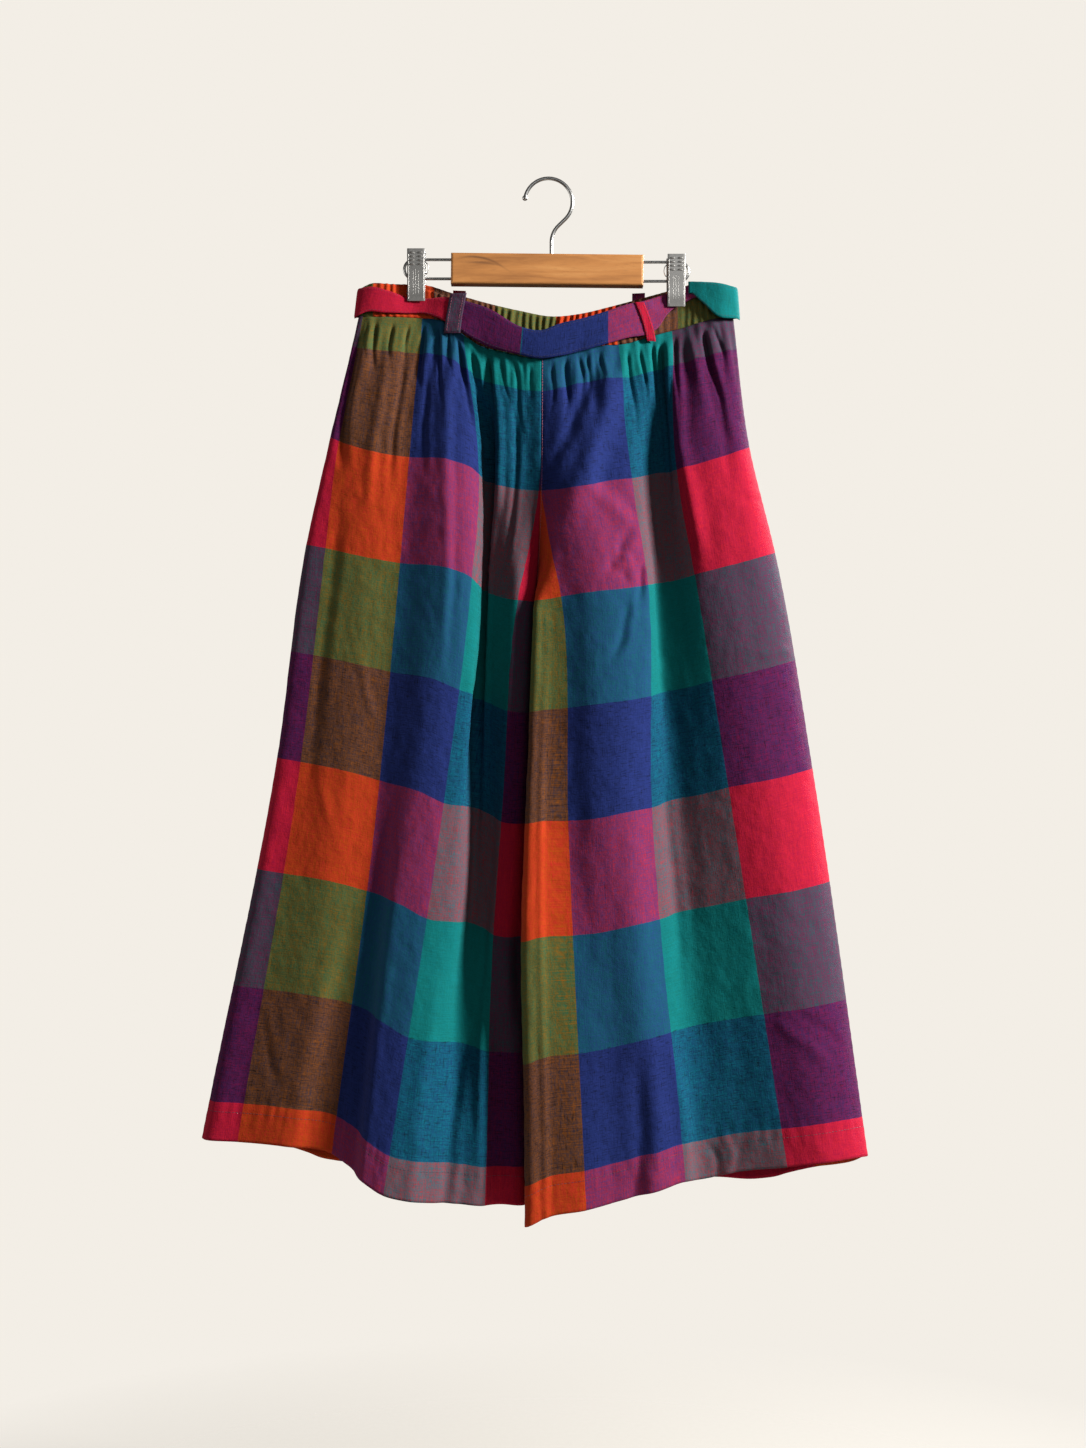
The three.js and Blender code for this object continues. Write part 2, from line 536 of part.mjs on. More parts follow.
function bar() {
  const { width, height, depth, x, z, round } = BAR;
  const w = 0.5 * width - round;
  const h = 0.5 * height - round;
  const outline = new THREE.Shape();
  outline.moveTo(-w, -h);
  outline.lineTo(w, -h);
  outline.lineTo(w, h);
  outline.lineTo(-w, h);
  outline.closePath();
  const block = new THREE.ExtrudeGeometry(outline, {
    depth: depth - 2 * round,
    bevelEnabled: true,
    bevelSize: round,
    bevelThickness: round,
    bevelSegments: 3,
    steps: 1,
  });
  block.translate(0, 0, -0.5 * depth + round);
  block.rotateX(0.5 * Math.PI);
  block.rotateY((BAR.tilt * Math.PI) / 180);
  block.translate(x, 0, z);
  let body = solid(block);
  for (const clip of [CLIP_LEFT, CLIP_RIGHT]) {
    const end = x + Math.sign(clip.x) * 0.5 * width;
    for (const height of [clip.railTop, clip.railLow]) {
      const bore = new THREE.CylinderGeometry(RAIL_RADIUS + CLEARANCE, RAIL_RADIUS + CLEARANCE, 2 * RAIL_BORE_DEPTH, 12);
      bore.rotateZ(0.5 * Math.PI);
      bore.translate(end, 0, height);
      body = body.subtract(solid(bore));
    }
  }
  const neck = new THREE.CylinderGeometry(WIRE_RADIUS + CLEARANCE, WIRE_RADIUS + CLEARANCE, 32, 12);
  neck.rotateX(0.5 * Math.PI);
  neck.translate(2.6, 0, z + 0.5 * height + 0.6);
  return geometryOf(body.subtract(solid(neck)));
}

// A rail: a wire that runs out of the bar, turns round at the end and runs back in.
function rail(clip) {
  const side = Math.sign(clip.x);
  const start = BAR.x + side * (0.5 * BAR.width - RAIL_BORE_DEPTH + 2);
  const bend = 0.5 * (clip.railTop - clip.railLow);
  const turn = clip.railEnd - side * (bend + RAIL_RADIUS);
  const middle = 0.5 * (clip.railTop + clip.railLow);
  const path = new THREE.CurvePath();
  path.add(new THREE.LineCurve3(new THREE.Vector3(start, 0, clip.railTop), new THREE.Vector3(turn, 0, clip.railTop)));
  const points = [];
  for (let i = 0; i <= 10; i += 1) {
    const a = 0.5 * Math.PI - (Math.PI * i) / 10;
    points.push(new THREE.Vector3(turn + side * bend * Math.cos(a), 0, middle + bend * Math.sin(a)));
  }
  for (let i = 0; i < 10; i += 1) path.add(new THREE.LineCurve3(points[i], points[i + 1]));
  path.add(new THREE.LineCurve3(new THREE.Vector3(turn, 0, clip.railLow), new THREE.Vector3(start, 0, clip.railLow)));
  return wire([], RAIL_RADIUS, 8, 36, path);
}

// One plate of a clip: wide apart at the top, close together at the jaw, with embossed grip ridges.
function jaw(clip, out) {
  const { width, height, plate, pinch, throat, spread } = CLIP;
  const side = [
    [spread, 0],
    [throat + 1.2, -0.3 * height],
    [throat, -0.5 * height],
    [throat - 0.6, -0.72 * height],
    [pinch + 1.6, -0.86 * height],
    [pinch, -0.93 * height],
    [pinch + 0.3, -height],
  ];
  const outline = new THREE.Shape();
  side.forEach(([y, z], i) => (i === 0 ? outline.moveTo(y, z) : outline.lineTo(y, z)));
  [...side].reverse().forEach(([y, z]) => outline.lineTo(y + plate, z));
  outline.closePath();
  const sheet = new THREE.ExtrudeGeometry(outline, { depth: width, bevelEnabled: false, steps: 1 });
  sheet.translate(0, 0, -0.5 * width);
  // The drawing's first axis becomes Y, its second Z and its depth X.
  sheet.applyMatrix4(new THREE.Matrix4().set(0, 0, 1, 0, 1, 0, 0, 0, 0, 1, 0, 0, 0, 0, 0, 1));
  let body = solid(sheet);
  const slope = (spread - throat - 1.2) / (0.3 * height);
  for (let row = 0; row < 4; row += 1) {
    for (const column of [-1, 1]) {
      const z = -(3.5 + 4.1 * row);
      const ridge = new THREE.BoxGeometry(6.2, 1.6, 1.5);
      ridge.translate(column * 4.6, spread + plate + slope * z, z);
      body = body.add(solid(ridge));
    }
  }
  const geometry = geometryOf(body);
  if (out < 0) {
    geometry.applyMatrix4(new THREE.Matrix4().makeRotationZ(Math.PI));
  }
  geometry.translate(clip.x, 0, clip.top);
  return geometry;
}

// The clip's slider: it rides on both rails between the plates.
function saddle(clip) {
  const low = clip.railLow - 5;
  const high = clip.railTop + 5;
  const x = clip.x - 2 * Math.sign(clip.x);
  const block = new THREE.BoxGeometry(7, 2 * (CLIP.throat - CLEARANCE - 0.6), high - low);
  block.translate(x, 0, 0.5 * (low + high));
  let body = solid(block);
  for (const height of [clip.railTop, clip.railLow]) {
    const bore = new THREE.CylinderGeometry(RAIL_RADIUS + CLEARANCE, RAIL_RADIUS + CLEARANCE, 20, 12);
    bore.rotateZ(0.5 * Math.PI);
    bore.translate(x, 0, height);
    body = body.subtract(solid(bore));
  }
  return geometryOf(body);
}

const cloth = (color) => new THREE.MeshStandardMaterial({ color, roughness: 0.92, metalness: 0, side: THREE.DoubleSide });
const plumLinen = cloth(0x7a2a58);
const petrolLinen = cloth(0x0f5468);
const navyLinen = cloth(0x232c6a);
const oliveLinen = cloth(0x6b6330);
const crimsonLinen = cloth(0xc41438);
const steel = new THREE.MeshStandardMaterial({ color: 0xb9b7b3, roughness: 0.3, metalness: 1 });
const wood = new THREE.MeshStandardMaterial({ color: 0xc98342, roughness: 0.5, metalness: 0 });

const group = new THREE.Group();
group.name = "wide_leg_pants_on_clip_hanger";
const add = (name, geometry, material) => {
  const mesh = new THREE.Mesh(geometry, material);
  mesh.name = name;
  group.add(mesh);
};

add("front_right", panel(FRONT_RIGHT, -1, -1), plumLinen);
add("front_left", panel(FRONT_LEFT, 1, -1), petrolLinen);
add("back_right", panel(BACK_RIGHT, -1, 1), petrolLinen);
add("back_left", panel(BACK_LEFT, 1, 1), plumLinen);
add("waistband_front", casing("front"), oliveLinen);
add("waistband_back", casing("back"), oliveLinen);
add("belt", belt(), navyLinen);
for (const spec of LOOPS) add(spec.name, loop(spec), crimsonLinen);
add("hanger_bar", bar(), wood);
add("hanger_hook", hook(), steel);
for (const [name, clip] of [["right", CLIP_LEFT], ["left", CLIP_RIGHT]]) {
  add(`rail_${name}`, rail(clip), steel);
  add(`clip_${name}_saddle`, saddle(clip), steel);
  add(`clip_${name}_front_jaw`, jaw(clip, -1), steel);
  add(`clip_${name}_back_jaw`, jaw(clip, 1), steel);
}

export default group;
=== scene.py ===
# Wide-leg linen pants in a multicolour handloom check, clipped to a wooden hanger and hung by the hook.
# X runs to the viewer's right, Y away from the viewer and Z up from the inner crest of the hook.
import math
import bpy
import numpy as np
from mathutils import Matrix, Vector, noise


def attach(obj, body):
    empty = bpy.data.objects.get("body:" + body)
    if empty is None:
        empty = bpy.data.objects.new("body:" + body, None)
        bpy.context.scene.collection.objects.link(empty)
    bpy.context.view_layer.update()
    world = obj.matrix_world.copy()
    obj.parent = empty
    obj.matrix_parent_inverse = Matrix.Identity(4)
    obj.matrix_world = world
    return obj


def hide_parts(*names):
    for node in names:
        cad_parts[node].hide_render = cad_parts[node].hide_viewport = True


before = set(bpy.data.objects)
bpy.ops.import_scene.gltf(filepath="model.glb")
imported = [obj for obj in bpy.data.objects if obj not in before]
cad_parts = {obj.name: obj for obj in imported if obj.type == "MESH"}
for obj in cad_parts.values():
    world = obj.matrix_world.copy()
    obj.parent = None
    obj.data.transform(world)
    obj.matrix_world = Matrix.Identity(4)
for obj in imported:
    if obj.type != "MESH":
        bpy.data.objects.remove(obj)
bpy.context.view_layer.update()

# ---------------------------------------------------------------- view
# The camera stands square in front of the pants, a little over two metres away,
# level with the knees, and the garment fills the upright picture as it hangs.
CAMERA_PLACE = (-0.0066, -2.3, -0.598)
CAMERA_LENS = 52.0

eye = bpy.data.cameras.new("camera")
eye.lens = CAMERA_LENS
eye.dof.use_dof = False
camera = bpy.data.objects.new("camera", eye)
camera.location = CAMERA_PLACE
camera.rotation_euler = (math.radians(90), 0, 0)
bpy.context.scene.collection.objects.link(camera)
bpy.context.scene.camera = camera
bpy.context.scene.view_settings.view_transform = "Standard"


def softbox(name, place, aim, size, power, tint):
    """A square area light that points from its place to its aim."""
    lamp = bpy.data.lights.new(name, "AREA")
    lamp.size = size
    lamp.energy = power
    lamp.color = tint
    obj = bpy.data.objects.new(name, lamp)
    obj.location = place
    obj.rotation_euler = (Vector(aim) - Vector(place)).to_track_quat("-Z", "Y").to_euler()
    bpy.context.scene.collection.objects.link(obj)


softbox("window_light", (3.0, -1.35, 0.75), (0, 0, -0.6), 0.7, 295, (1.0, 0.985, 0.96))
softbox("room_fill", (0.9, -3.2, 0.6), (0, 0, -0.6), 1.8, 12, (0.96, 0.98, 1.0))
softbox("back_fill", (2.4, 2.2, 0.8), (0, 0, -0.6), 1.2, 170, (1.0, 0.98, 0.95))
softbox("wall_bounce", (-2.4, -0.1, -0.4), (0, 0, -0.6), 1.4, 16, (1.0, 0.97, 0.93))

world = bpy.data.worlds.new("room")
bpy.context.scene.world = world
world.use_nodes = True
room = world.node_tree.nodes["Background"]
room.inputs["Color"].default_value = (0.90, 0.86, 0.80, 1)
room.inputs["Strength"].default_value = 0.09
seen = world.node_tree.nodes.new("ShaderNodeBackground")
seen.inputs["Color"].default_value = (0.896, 0.855, 0.791, 1)
path_kind = world.node_tree.nodes.new("ShaderNodeLightPath")
choose = world.node_tree.nodes.new("ShaderNodeMixShader")
join = world.node_tree.links.new
join(path_kind.outputs["Is Camera Ray"], choose.inputs[0])
join(room.outputs[0], choose.inputs[1])
join(seen.outputs[0], choose.inputs[2])
join(choose.outputs[0], world.node_tree.nodes["World Output"].inputs["Surface"])


# ---------------------------------------------------------------- linen
# The cloth is a plain-weave handloom linen: four warp colours cross three weft colours,
# so each square shows the blend of its two yarns, with slubs running both ways. Bands are in mm.
WARP_BAND = 112
WEFT_BAND = 121
WARP_YARNS = {"amber": (0.72, 0.37, 0.05), "blue": (0.18, 0.23, 0.52),
              "green": (0.0, 0.50, 0.54), "crimson": (0.57, 0.055, 0.25)}
WEFT_YARNS = {"green": (0.04, 0.41, 0.37), "navy": (0.10, 0.16, 0.34), "red": (0.85, 0.15, 0.19)}
CLOTH_BRIGHTNESS = 0.72
ENDS_PER_BAND = 78
PICKS_PER_BAND = 84


class Wire:
    """A node's output that adds Math nodes when it is used in an expression."""

    def __init__(self, finish, socket):
        self.finish = finish
        self.socket = socket

    def _math(self, operation, first, second):
        return self.finish.node("Math", {"operation": operation}, [first, second])

    def __add__(self, other):
        return self._math("ADD", self, other)

    def __sub__(self, other):
        return self._math("SUBTRACT", self, other)

    def __rsub__(self, other):
        return self._math("SUBTRACT", other, self)

    def __mul__(self, other):
        return self._math("MULTIPLY", self, other)

    def __truediv__(self, other):
        return self._math("DIVIDE", self, other)

    __radd__ = __add__
    __rmul__ = __mul__


class Finish:
    """A surface finish, built as a material whose Principled shader takes its inputs."""

    def __init__(self, name):
        self.material = bpy.data.materials.new(name)
        self.material.use_nodes = True
        self.tree = self.material.node_tree
        self.shader = self.tree.nodes["Principled BSDF"]

    def node(self, kind, settings=None, inputs=None, out=0):
        made = self.tree.nodes.new("ShaderNode" + kind)
        for key, value in (settings or {}).items():
            if key == "stops":
                while len(made.color_ramp.elements) < len(value):
                    made.color_ramp.elements.new(1.0)
                for stop, (place, color) in zip(made.color_ramp.elements, value):
                    stop.position = place
                    stop.color = (*color, 1)
            elif key == "steps":
                made.color_ramp.interpolation = value
            else:
                setattr(made, key, value)
        pairs = inputs.items() if isinstance(inputs, dict) else enumerate(inputs or [])
        for key, value in pairs:
            if isinstance(value, Wire):
                self.tree.links.new(value.socket, made.inputs[key])
            elif value is not None:
                made.inputs[key].default_value = value
        return Wire(self, made.outputs[out])

    def noise(self, x, y, z, detail):
        """Noise over a stretched place, without a scale of its own."""
        place = self.node("CombineXYZ", None, [x, y, z])
        return self.node("TexNoise", None, {"Vector": place, "Scale": 1.0, "Detail": detail})

    def noise_on(self, place, scale, detail):
        return self.node("TexNoise", None, {"Vector": place, "Scale": scale, "Detail": detail})

    def blend(self, factor, first, second, kind="MIX"):
        """Mixes two colours."""
        made = self.tree.nodes.new("ShaderNodeMix")
        made.data_type = "RGBA"
        made.blend_type = kind
        for key, value in ((0, factor), (6, first), (7, second)):
            if isinstance(value, Wire):
                self.tree.links.new(value.socket, made.inputs[key])
            else:
                made.inputs[key].default_value = value if key == 0 else (*value, 1)
        return Wire(self, made.outputs[2])

    def set(self, **values):
        for key, value in values.items():
            name = key.replace("_", " ")
            if isinstance(value, Wire):
                self.tree.links.new(value.socket, self.shader.inputs[name])
            else:
                self.shader.inputs[name].default_value = value


def yarn_ramp(yarns):
    return [(i / len(yarns), color) for i, color in enumerate(yarns.values())]


def linen():
    f = Finish("check_linen")
    cloth = f.node("UVMap", {"uv_map": "cloth"})
    u = f.node("SeparateXYZ", None, [cloth], 0)
    v = f.node("SeparateXYZ", None, [cloth], 1)
    # A yarn or two strays at each colour change.
    u_edge = u + (f.noise(u * 140, v * 5, 0.0, 1.0) - 0.5) * 0.010
    v_edge = v + (f.noise(u * 5, v * 150, 7.0, 1.0) - 0.5) * 0.008
    warp_place = f.node("Math", {"operation": "FLOORED_MODULO"}, [u_edge * 0.25, 1.0])
    weft_place = f.node("Math", {"operation": "FLOORED_MODULO"}, [v_edge / 3, 1.0])
    warp = f.node("ValToRGB", {"stops": yarn_ramp(WARP_YARNS), "steps": "CONSTANT"}, [warp_place])
    weft = f.node("ValToRGB", {"stops": yarn_ramp(WEFT_YARNS), "steps": "CONSTANT"}, [weft_place])
    # Slubs: thick stretches of single yarns, long along the warp and along the weft.
    slub_warp = f.noise(u * 92, v * 4.5, 3.0, 2.0)
    slub_weft = f.noise(u * 5.5, v * 105, 11.0, 2.0)
    fine_warp = f.noise(u * 210, v * 30, 5.0, 1.0)
    fine_weft = f.noise(u * 30, v * 230, 9.0, 1.0)
    ends = f.node("Math", {"operation": "SINE"}, [u * (2 * math.pi * ENDS_PER_BAND)])
    picks = f.node("Math", {"operation": "SINE"}, [v * (2 * math.pi * PICKS_PER_BAND)])
    over = ends * picks
    share = 0.5 + (slub_warp - slub_weft) * 0.50 + (fine_warp - fine_weft) * 0.55 + over * 0.05
    share = f.node("Clamp", None, [share, 0.08, 0.92])
    woven = f.blend(share, warp, weft)
    # The yarns are dyed unevenly, and the cloth has faded a little in places.
    patchy = f.noise(u * 2.3, v * 2.1, 1.0, 3.0)
    dyed = (slub_warp * 0.16 + slub_weft * 0.16 + patchy * 0.12 + 0.80) * CLOTH_BRIGHTNESS
    # Short dark slubs show most where the navy weft crosses a brown or petrol square.
    dash_weft = f.noise(u * 11, v * 120, 23.0, 1.0)
    dash_warp = f.noise(u * 105, v * 8, 29.0, 1.0)
    navy_weft = f.node("Math", {"operation": "COMPARE"}, [weft_place, 0.5, 0.1666])
    dashes = (f.node("Clamp", None, [(dash_weft - 0.56) * 9, 0.0, 1.0])
              + f.node("Clamp", None, [(dash_warp - 0.60) * 9, 0.0, 1.0]))
    dyed = dyed * (1 - dashes * (navy_weft * 0.36 + 0.10))
    tone = f.node("Gamma", None, [woven, 2.2])
    color = f.blend(1.0, tone, f.node("CombineColor", None, [dyed, dyed, dyed]), "MULTIPLY")
    place = f.node("TexCoord", None, None, 3)
    crumple = f.node("TexNoise", None, {"Vector": place, "Scale": 46.0, "Detail": 4.0, "Roughness": 0.55})
    surface = over * 0.10 + slub_warp * 0.5 + slub_weft * 0.5 + fine_warp * 0.25 + fine_weft * 0.25
    weave_bump = f.node("Bump", None, {"Strength": 0.55, "Distance": 0.0006, "Height": surface})
    soft_bump = f.node("Bump", None, {"Strength": 0.5, "Distance": 0.0035, "Height": crumple, "Normal": weave_bump})
    f.set(Base_Color=color, Roughness=0.84 + (slub_weft - 0.5) * 0.12, Normal=soft_bump)
    f.set(Sheen_Weight=0.03, Sheen_Roughness=0.5, Specular_IOR_Level=0.10)
    return f.material


check_linen = linen()


# ---------------------------------------------------------------- leg panels
# Four flared linen panels, sewn at the sides, the inner legs and the centre seams.
# They hang in deep soft folds from the gathered waist, and each hem is turned up 42 mm.
ROWS_AT = [0.67, 2, 3, 5, 8.34]
WAIST_ROW, LAST_ROW = ROWS_AT[0], ROWS_AT[-1]
FORK_ROW = 2.95
HEM_ROW = 7.98
TURN_FROM_ROW = 2.1
TUCK_ROW = 0.66
RUNS_OUT_ROW = 8.2
CLIP_PLACES = (-145.6, 139.5)
GATHER = 1.8
CLOTH_WALL = 0.9
HEM_WALL = 2.0
COLUMNS = 150
ROWS = 245

# Lines that run down the cloth: name, then places across, heights and depths in mm at the five rows above,
# and the check bands counted across the cloth.
ACROSS, HEIGHT, DEPTH, BAND = 1, 2, 3, 4
FRONT_RIGHT = [
    ("side_seam", (-208, -239, -266, -298, -381), (-150, -284, -402, -634, -1052),
     (0, 0, 0, 0, 0), (-0.1, -0.18, -0.25, -0.32, -0.42)),
    ("side_band", (-203, -230, -244, -271, -340), (-151, -288, -406, -639, -1054),
     (-7, -13, -17, -19, -18), (0.02, 0, 0, 0, 0)),
    ("thigh", (-172, -190, -202, -223, -286), (-152, -301, -416, -648, -1057),
     (-8, -21, -25, -28, -28), (0.5, 0.49, 0.49, 0.54, 0.51)),
    ("amber_edge", (-139, -152, -162, -184, -236), (-153, -307, -423, -659, -1065),
     (-4, -22, -26, -28, -27), (1, 1, 1, 1, 1)),
    ("crest", (-118, -114, -111, -139, -208), (-156, -310, -429, -671, -1085),
     (-8, -32, -40, -42, -47), (1.42, 1.5, 1.53, 1.58, 1.45)),
    ("blue_edge", (-96, -83, -85, -114, -178), (-171, -320, -439, -683, -1104),
     (-11, -23, -33, -39, -57), (1.97, 1.93, 1.99, 2.0, 2.0)),
    ("lip", (-87, -77, -80, -88, -146), (-177, -325, -444, -687, -1112),
     (-12, -17, -28, -29, -51), (2.08, 2.0, 2.04, 2.36, 2.27)),
    ("trough", (-78, -68, -69, -76, -112), (-183, -331, -451, -691, -1117),
     (-11, 0, 4, 2, -35), (2.2, 2.12, 2.24, 2.52, 2.55)),
    ("second_crest", (-48, -49, -56, -61, -91), (-192, -338, -458, -698, -1120),
     (-14, -14, -8, -10, -24), (2.55, 2.5, 2.72, 2.8, 2.82)),
    ("green_edge", (-21, -24, -34, -51, -73), (-198, -342, -463, -704, -1122),
     (-17, -16, -22, -22, -16), (2.85, 2.85, 3.0, 3.0, 3.0)),
    ("inner_seam", (-8.5, -9.5, -13.5, -20.5, -27), (-199, -343, -464, -706, -1126),
     (-18, -18, -3, 0, 0), (2.99, 3.02, 3.2, 3.38, 3.5)),
]
FRONT_LEFT = [
    ("inner_seam", (-8.5, -9.5, -13.5, -19.5, -22), (-199, -343, -464, -705, -1141),
     (-18, -18, -3, 0, 0), (1.0, 0.99, 0.7, 0.42, 0.2)),
    ("inner_crest", (0, 0, -4, -11, -6), (-198, -343, -463, -703, -1131),
     (-18, -26, -28, -46, -62), (1.09, 1.08, 0.85, 0.74, 0.65)),
    ("amber_edge", (10, 10, 13, 21, 40), (-195, -343, -460, -702, -1121),
     (-18, -32, -36, -42, -53), (1.2, 1.2, 1.0, 1.0, 1.0)),
    ("inner_trough", (31, 39, 49, 52, 78), (-188, -340, -455, -699, -1112),
     (-16, -36, -45, -51, -50), (1.47, 1.49, 1.38, 1.34, 1.36)),
    ("crest", (56, 64, 85, 87, 119), (-185, -333, -451, -692, -1101),
     (-16, -28, -40, -48, -45), (1.78, 1.74, 1.77, 1.74, 1.74)),
    ("blue_edge", (80, 90, 107, 111, 146), (-183, -330, -447, -688, -1094),
     (-13, -21, -31, -35, -32), (2.05, 2.0, 2.0, 2.0, 2.0)),
    ("trough", (113, 122, 119, 135, 165), (-173, -322, -444, -680, -1094),
     (-7, -5, -12, -21, -22), (2.6, 2.56, 2.4, 2.29, 2.2)),
    ("rise", (126, 130, 140, 165, 208), (-169, -322, -441, -674, -1085),
     (-5, -11, -20, -30, -24), (2.85, 2.76, 2.73, 2.65, 2.56)),
    ("green_edge", (142, 142, 158, 194, 258), (-165, -320, -436, -666, -1078),
     (-4, -23, -32, -40, -35), (3.1, 3.05, 3.0, 3.0, 3.0)),
    ("hip", (170, 181, 201, 242, 303), (-157, -309, -425, -657, -1072),
     (-8, -27, -37, -43, -38), (3.45, 3.38, 3.42, 3.43, 3.42)),
    ("side_band", (192, 212, 235, 276, 334), (-152, -298, -415, -649, -1070),
     (-7, -18, -26, -27, -24), (3.72, 3.68, 3.72, 3.74, 3.72)),
    ("side_seam", (202, 220, 248, 289, 350), (-150, -294, -410, -646, -1072),
     (0, 0, 0, 0, 0), (3.85, 3.82, 3.86, 3.92, 3.9)),
]
BACK_RIGHT = [
    ("side_seam", (-208, -239, -266, -298, -381), (-150, -284, -402, -634, -1052),
     (0, 0, 0, 0, 0), (-0.1, -0.18, -0.25, -0.32, -0.42)),
    ("side_band", (-203, -231, -248, -276, -348), (-150, -288, -406, -640, -1058),
     (7, 12, 14, 14, 10), (0.0, 0.0, -0.02, -0.05, -0.1)),
    ("hip", (-172, -195, -208, -229, -292), (-151, -296, -414, -650, -1067),
     (7, 22, 24, 26, 26), (0.45, 0.38, 0.4, 0.42, 0.42)),
    ("fold", (-139, -150, -160, -178, -234), (-153, -304, -422, -660, -1081),
     (3, 17, 13, 12, 14), (0.9, 0.82, 0.86, 0.92, 0.98)),
    ("ridge", (-110, -116, -118, -132, -180), (-161, -312, -430, -670, -1085),
     (9, 26, 28, 29, 29), (1.3, 1.2, 1.3, 1.4, 1.5)),
    ("hollow", (-80, -84, -84, -94, -130), (-172, -322, -438, -680, -1094),
     (12, 17, 15, 16, 14), (1.8, 1.62, 1.72, 1.85, 2.0)),
    ("seat", (-44, -46, -48, -62, -82), (-182, -332, -446, -690, -1106),
     (16, 27, 26, 26, 28), (2.35, 2.2, 2.3, 2.4, 2.6)),
    ("inner_band", (-20, -20, -28, -38, -46), (-186, -339, -458, -698, -1118),
     (18, 25, 18, 12, 12), (2.7, 2.6, 2.75, 2.85, 3.0)),
    ("inner_seam", (-8.5, -9.5, -13.5, -20.5, -27), (-187, -343, -464, -706, -1126),
     (18, 22, 3, 0, 0), (2.88, 2.8, 3.05, 3.15, 3.3)),
]
BACK_LEFT = [
    ("inner_seam", (-8.5, -9.5, -13.5, -19.5, -22), (-187, -343, -464, -705, -1141),
     (18, 22, 3, 0, 0), (1.5, 1.58, 1.33, 1.18, 1.05)),
    ("inner_band", (3, 2, 2, 2, 0), (-186, -339, -458, -700, -1134),
     (18, 25, 18, 14, 14), (1.65, 1.72, 1.6, 1.42, 1.28)),
    ("seat", (30, 36, 44, 54, 64), (-181, -332, -450, -694, -1124),
     (16, 27, 26, 27, 28), (2.0, 2.1, 2.02, 1.92, 1.88)),
    ("hollow", (68, 74, 82, 92, 118), (-172, -324, -442, -686, -1112),
     (12, 16, 14, 14, 12), (2.5, 2.52, 2.45, 2.35, 2.35)),
    ("ridge", (102, 110, 120, 136, 176), (-162, -316, -432, -678, -1102),
     (9, 26, 28, 29, 29), (2.95, 2.92, 2.9, 2.85, 2.88)),
    ("fold", (140, 148, 158, 182, 230), (-154, -308, -426, -670, -1101),
     (3, 15, 12, 14, 16), (3.4, 3.35, 3.35, 3.36, 3.4)),
    ("hip", (170, 186, 203, 236, 294), (-151, -302, -420, -662, -1090),
     (7, 22, 24, 26, 24), (3.8, 3.75, 3.8, 3.86, 3.98)),
    ("side_band", (194, 212, 235, 277, 337), (-150, -297, -414, -652, -1080),
     (7, 12, 14, 14, 10), (4.15, 4.05, 4.1, 4.25, 4.38)),
    ("side_seam", (202, 220, 248, 289, 350), (-150, -294, -410, -646, -1072),
     (0, 0, 0, 0, 0), (4.28, 4.2, 4.25, 4.4, 4.5)),
]

# Creases, one by one: start and end, each across and down in check bands, then width and lift in mm.
FRONT_RIGHT_CREASES = [
    (2.18, 1.0, 2.42, 5.6, 11, -11), (2.92, 6.4, 2.90, 8.34, 18, 9), (0.02, 0.95, 0.05, 2.3, 9, -3.4),
    (0.16, 2.5, 0.10, 5.4, 9, -1.6), (0.52, 1.0, 0.44, 2.7, 8, 1.6), (0.80, 1.05, 0.70, 2.3, 6, -1.6),
    (1.20, 1.1, 1.18, 2.2, 6, -1.4), (1.55, 1.0, 1.55, 4.0, 10, 2.2), (2.28, 1.1, 2.3, 3.2, 6, -2.4),
    (2.45, 1.0, 2.42, 2.3, 5, 2.0), (2.66, 1.05, 2.72, 2.8, 5, -2.0), (0.62, 3.9, 0.80, 4.5, 6, 0.9),
    (0.28, 5.1, 0.56, 5.7, 7, 0.8), (1.12, 5.0, 1.30, 8.3, 16, -5), (2.62, 6.9, 2.50, 8.34, 8, -3.4),
    (2.28, 6.4, 2.20, 8.34, 9, 2.2), (2.85, 5.8, 2.80, 8.2, 6, -1.4), (0.75, 6.1, 0.52, 8.3, 12, 1.5),
    (0.05, 7.2, 0.34, 7.9, 5, -0.8)]
FRONT_LEFT_CREASES = [
    (1.34, 5.0, 1.32, 8.34, 34, -5), (2.04, 0.80, 1.24, 2.30, 15, 6.5), (1.66, 0.92, 1.08, 1.80, 9, -3.0),
    (1.52, 1.95, 1.92, 2.55, 9, 2.2), (1.95, 2.40, 1.50, 2.86, 6, -2.2), (1.97, 2.80, 1.80, 3.16, 5, -3.0),
    (1.80, 3.16, 1.50, 3.64, 6, -2.6), (1.88, 3.02, 1.66, 3.40, 5, 2.0), (1.66, 2.62, 1.86, 2.86, 4, 1.5),
    (1.58, 2.74, 1.80, 2.98, 4, -1.5), (3.58, 2.44, 3.82, 2.58, 4, -1.6), (3.50, 3.85, 3.84, 3.96, 5, 1.4),
    (1.66, 7.05, 1.52, 8.30, 10, -3.6), (1.96, 6.80, 2.04, 8.34, 9, 2.4), (3.10, 7.05, 3.60, 7.60, 6, 1.4),
    (3.30, 7.00, 3.75, 7.45, 5, -1.2), (0.86, 2.50, 0.70, 8.30, 7, 1.4), (2.30, 7.95, 2.36, 8.34, 4, -1.3),
    (2.48, 7.90, 2.46, 8.34, 4, 1.2), (2.20, 4.7, 2.14, 6.9, 7, -1.6), (3.08, 0.9, 3.12, 3.1, 8, 3.4),
    (3.40, 1.0, 3.50, 2.4, 7, -1.5)]
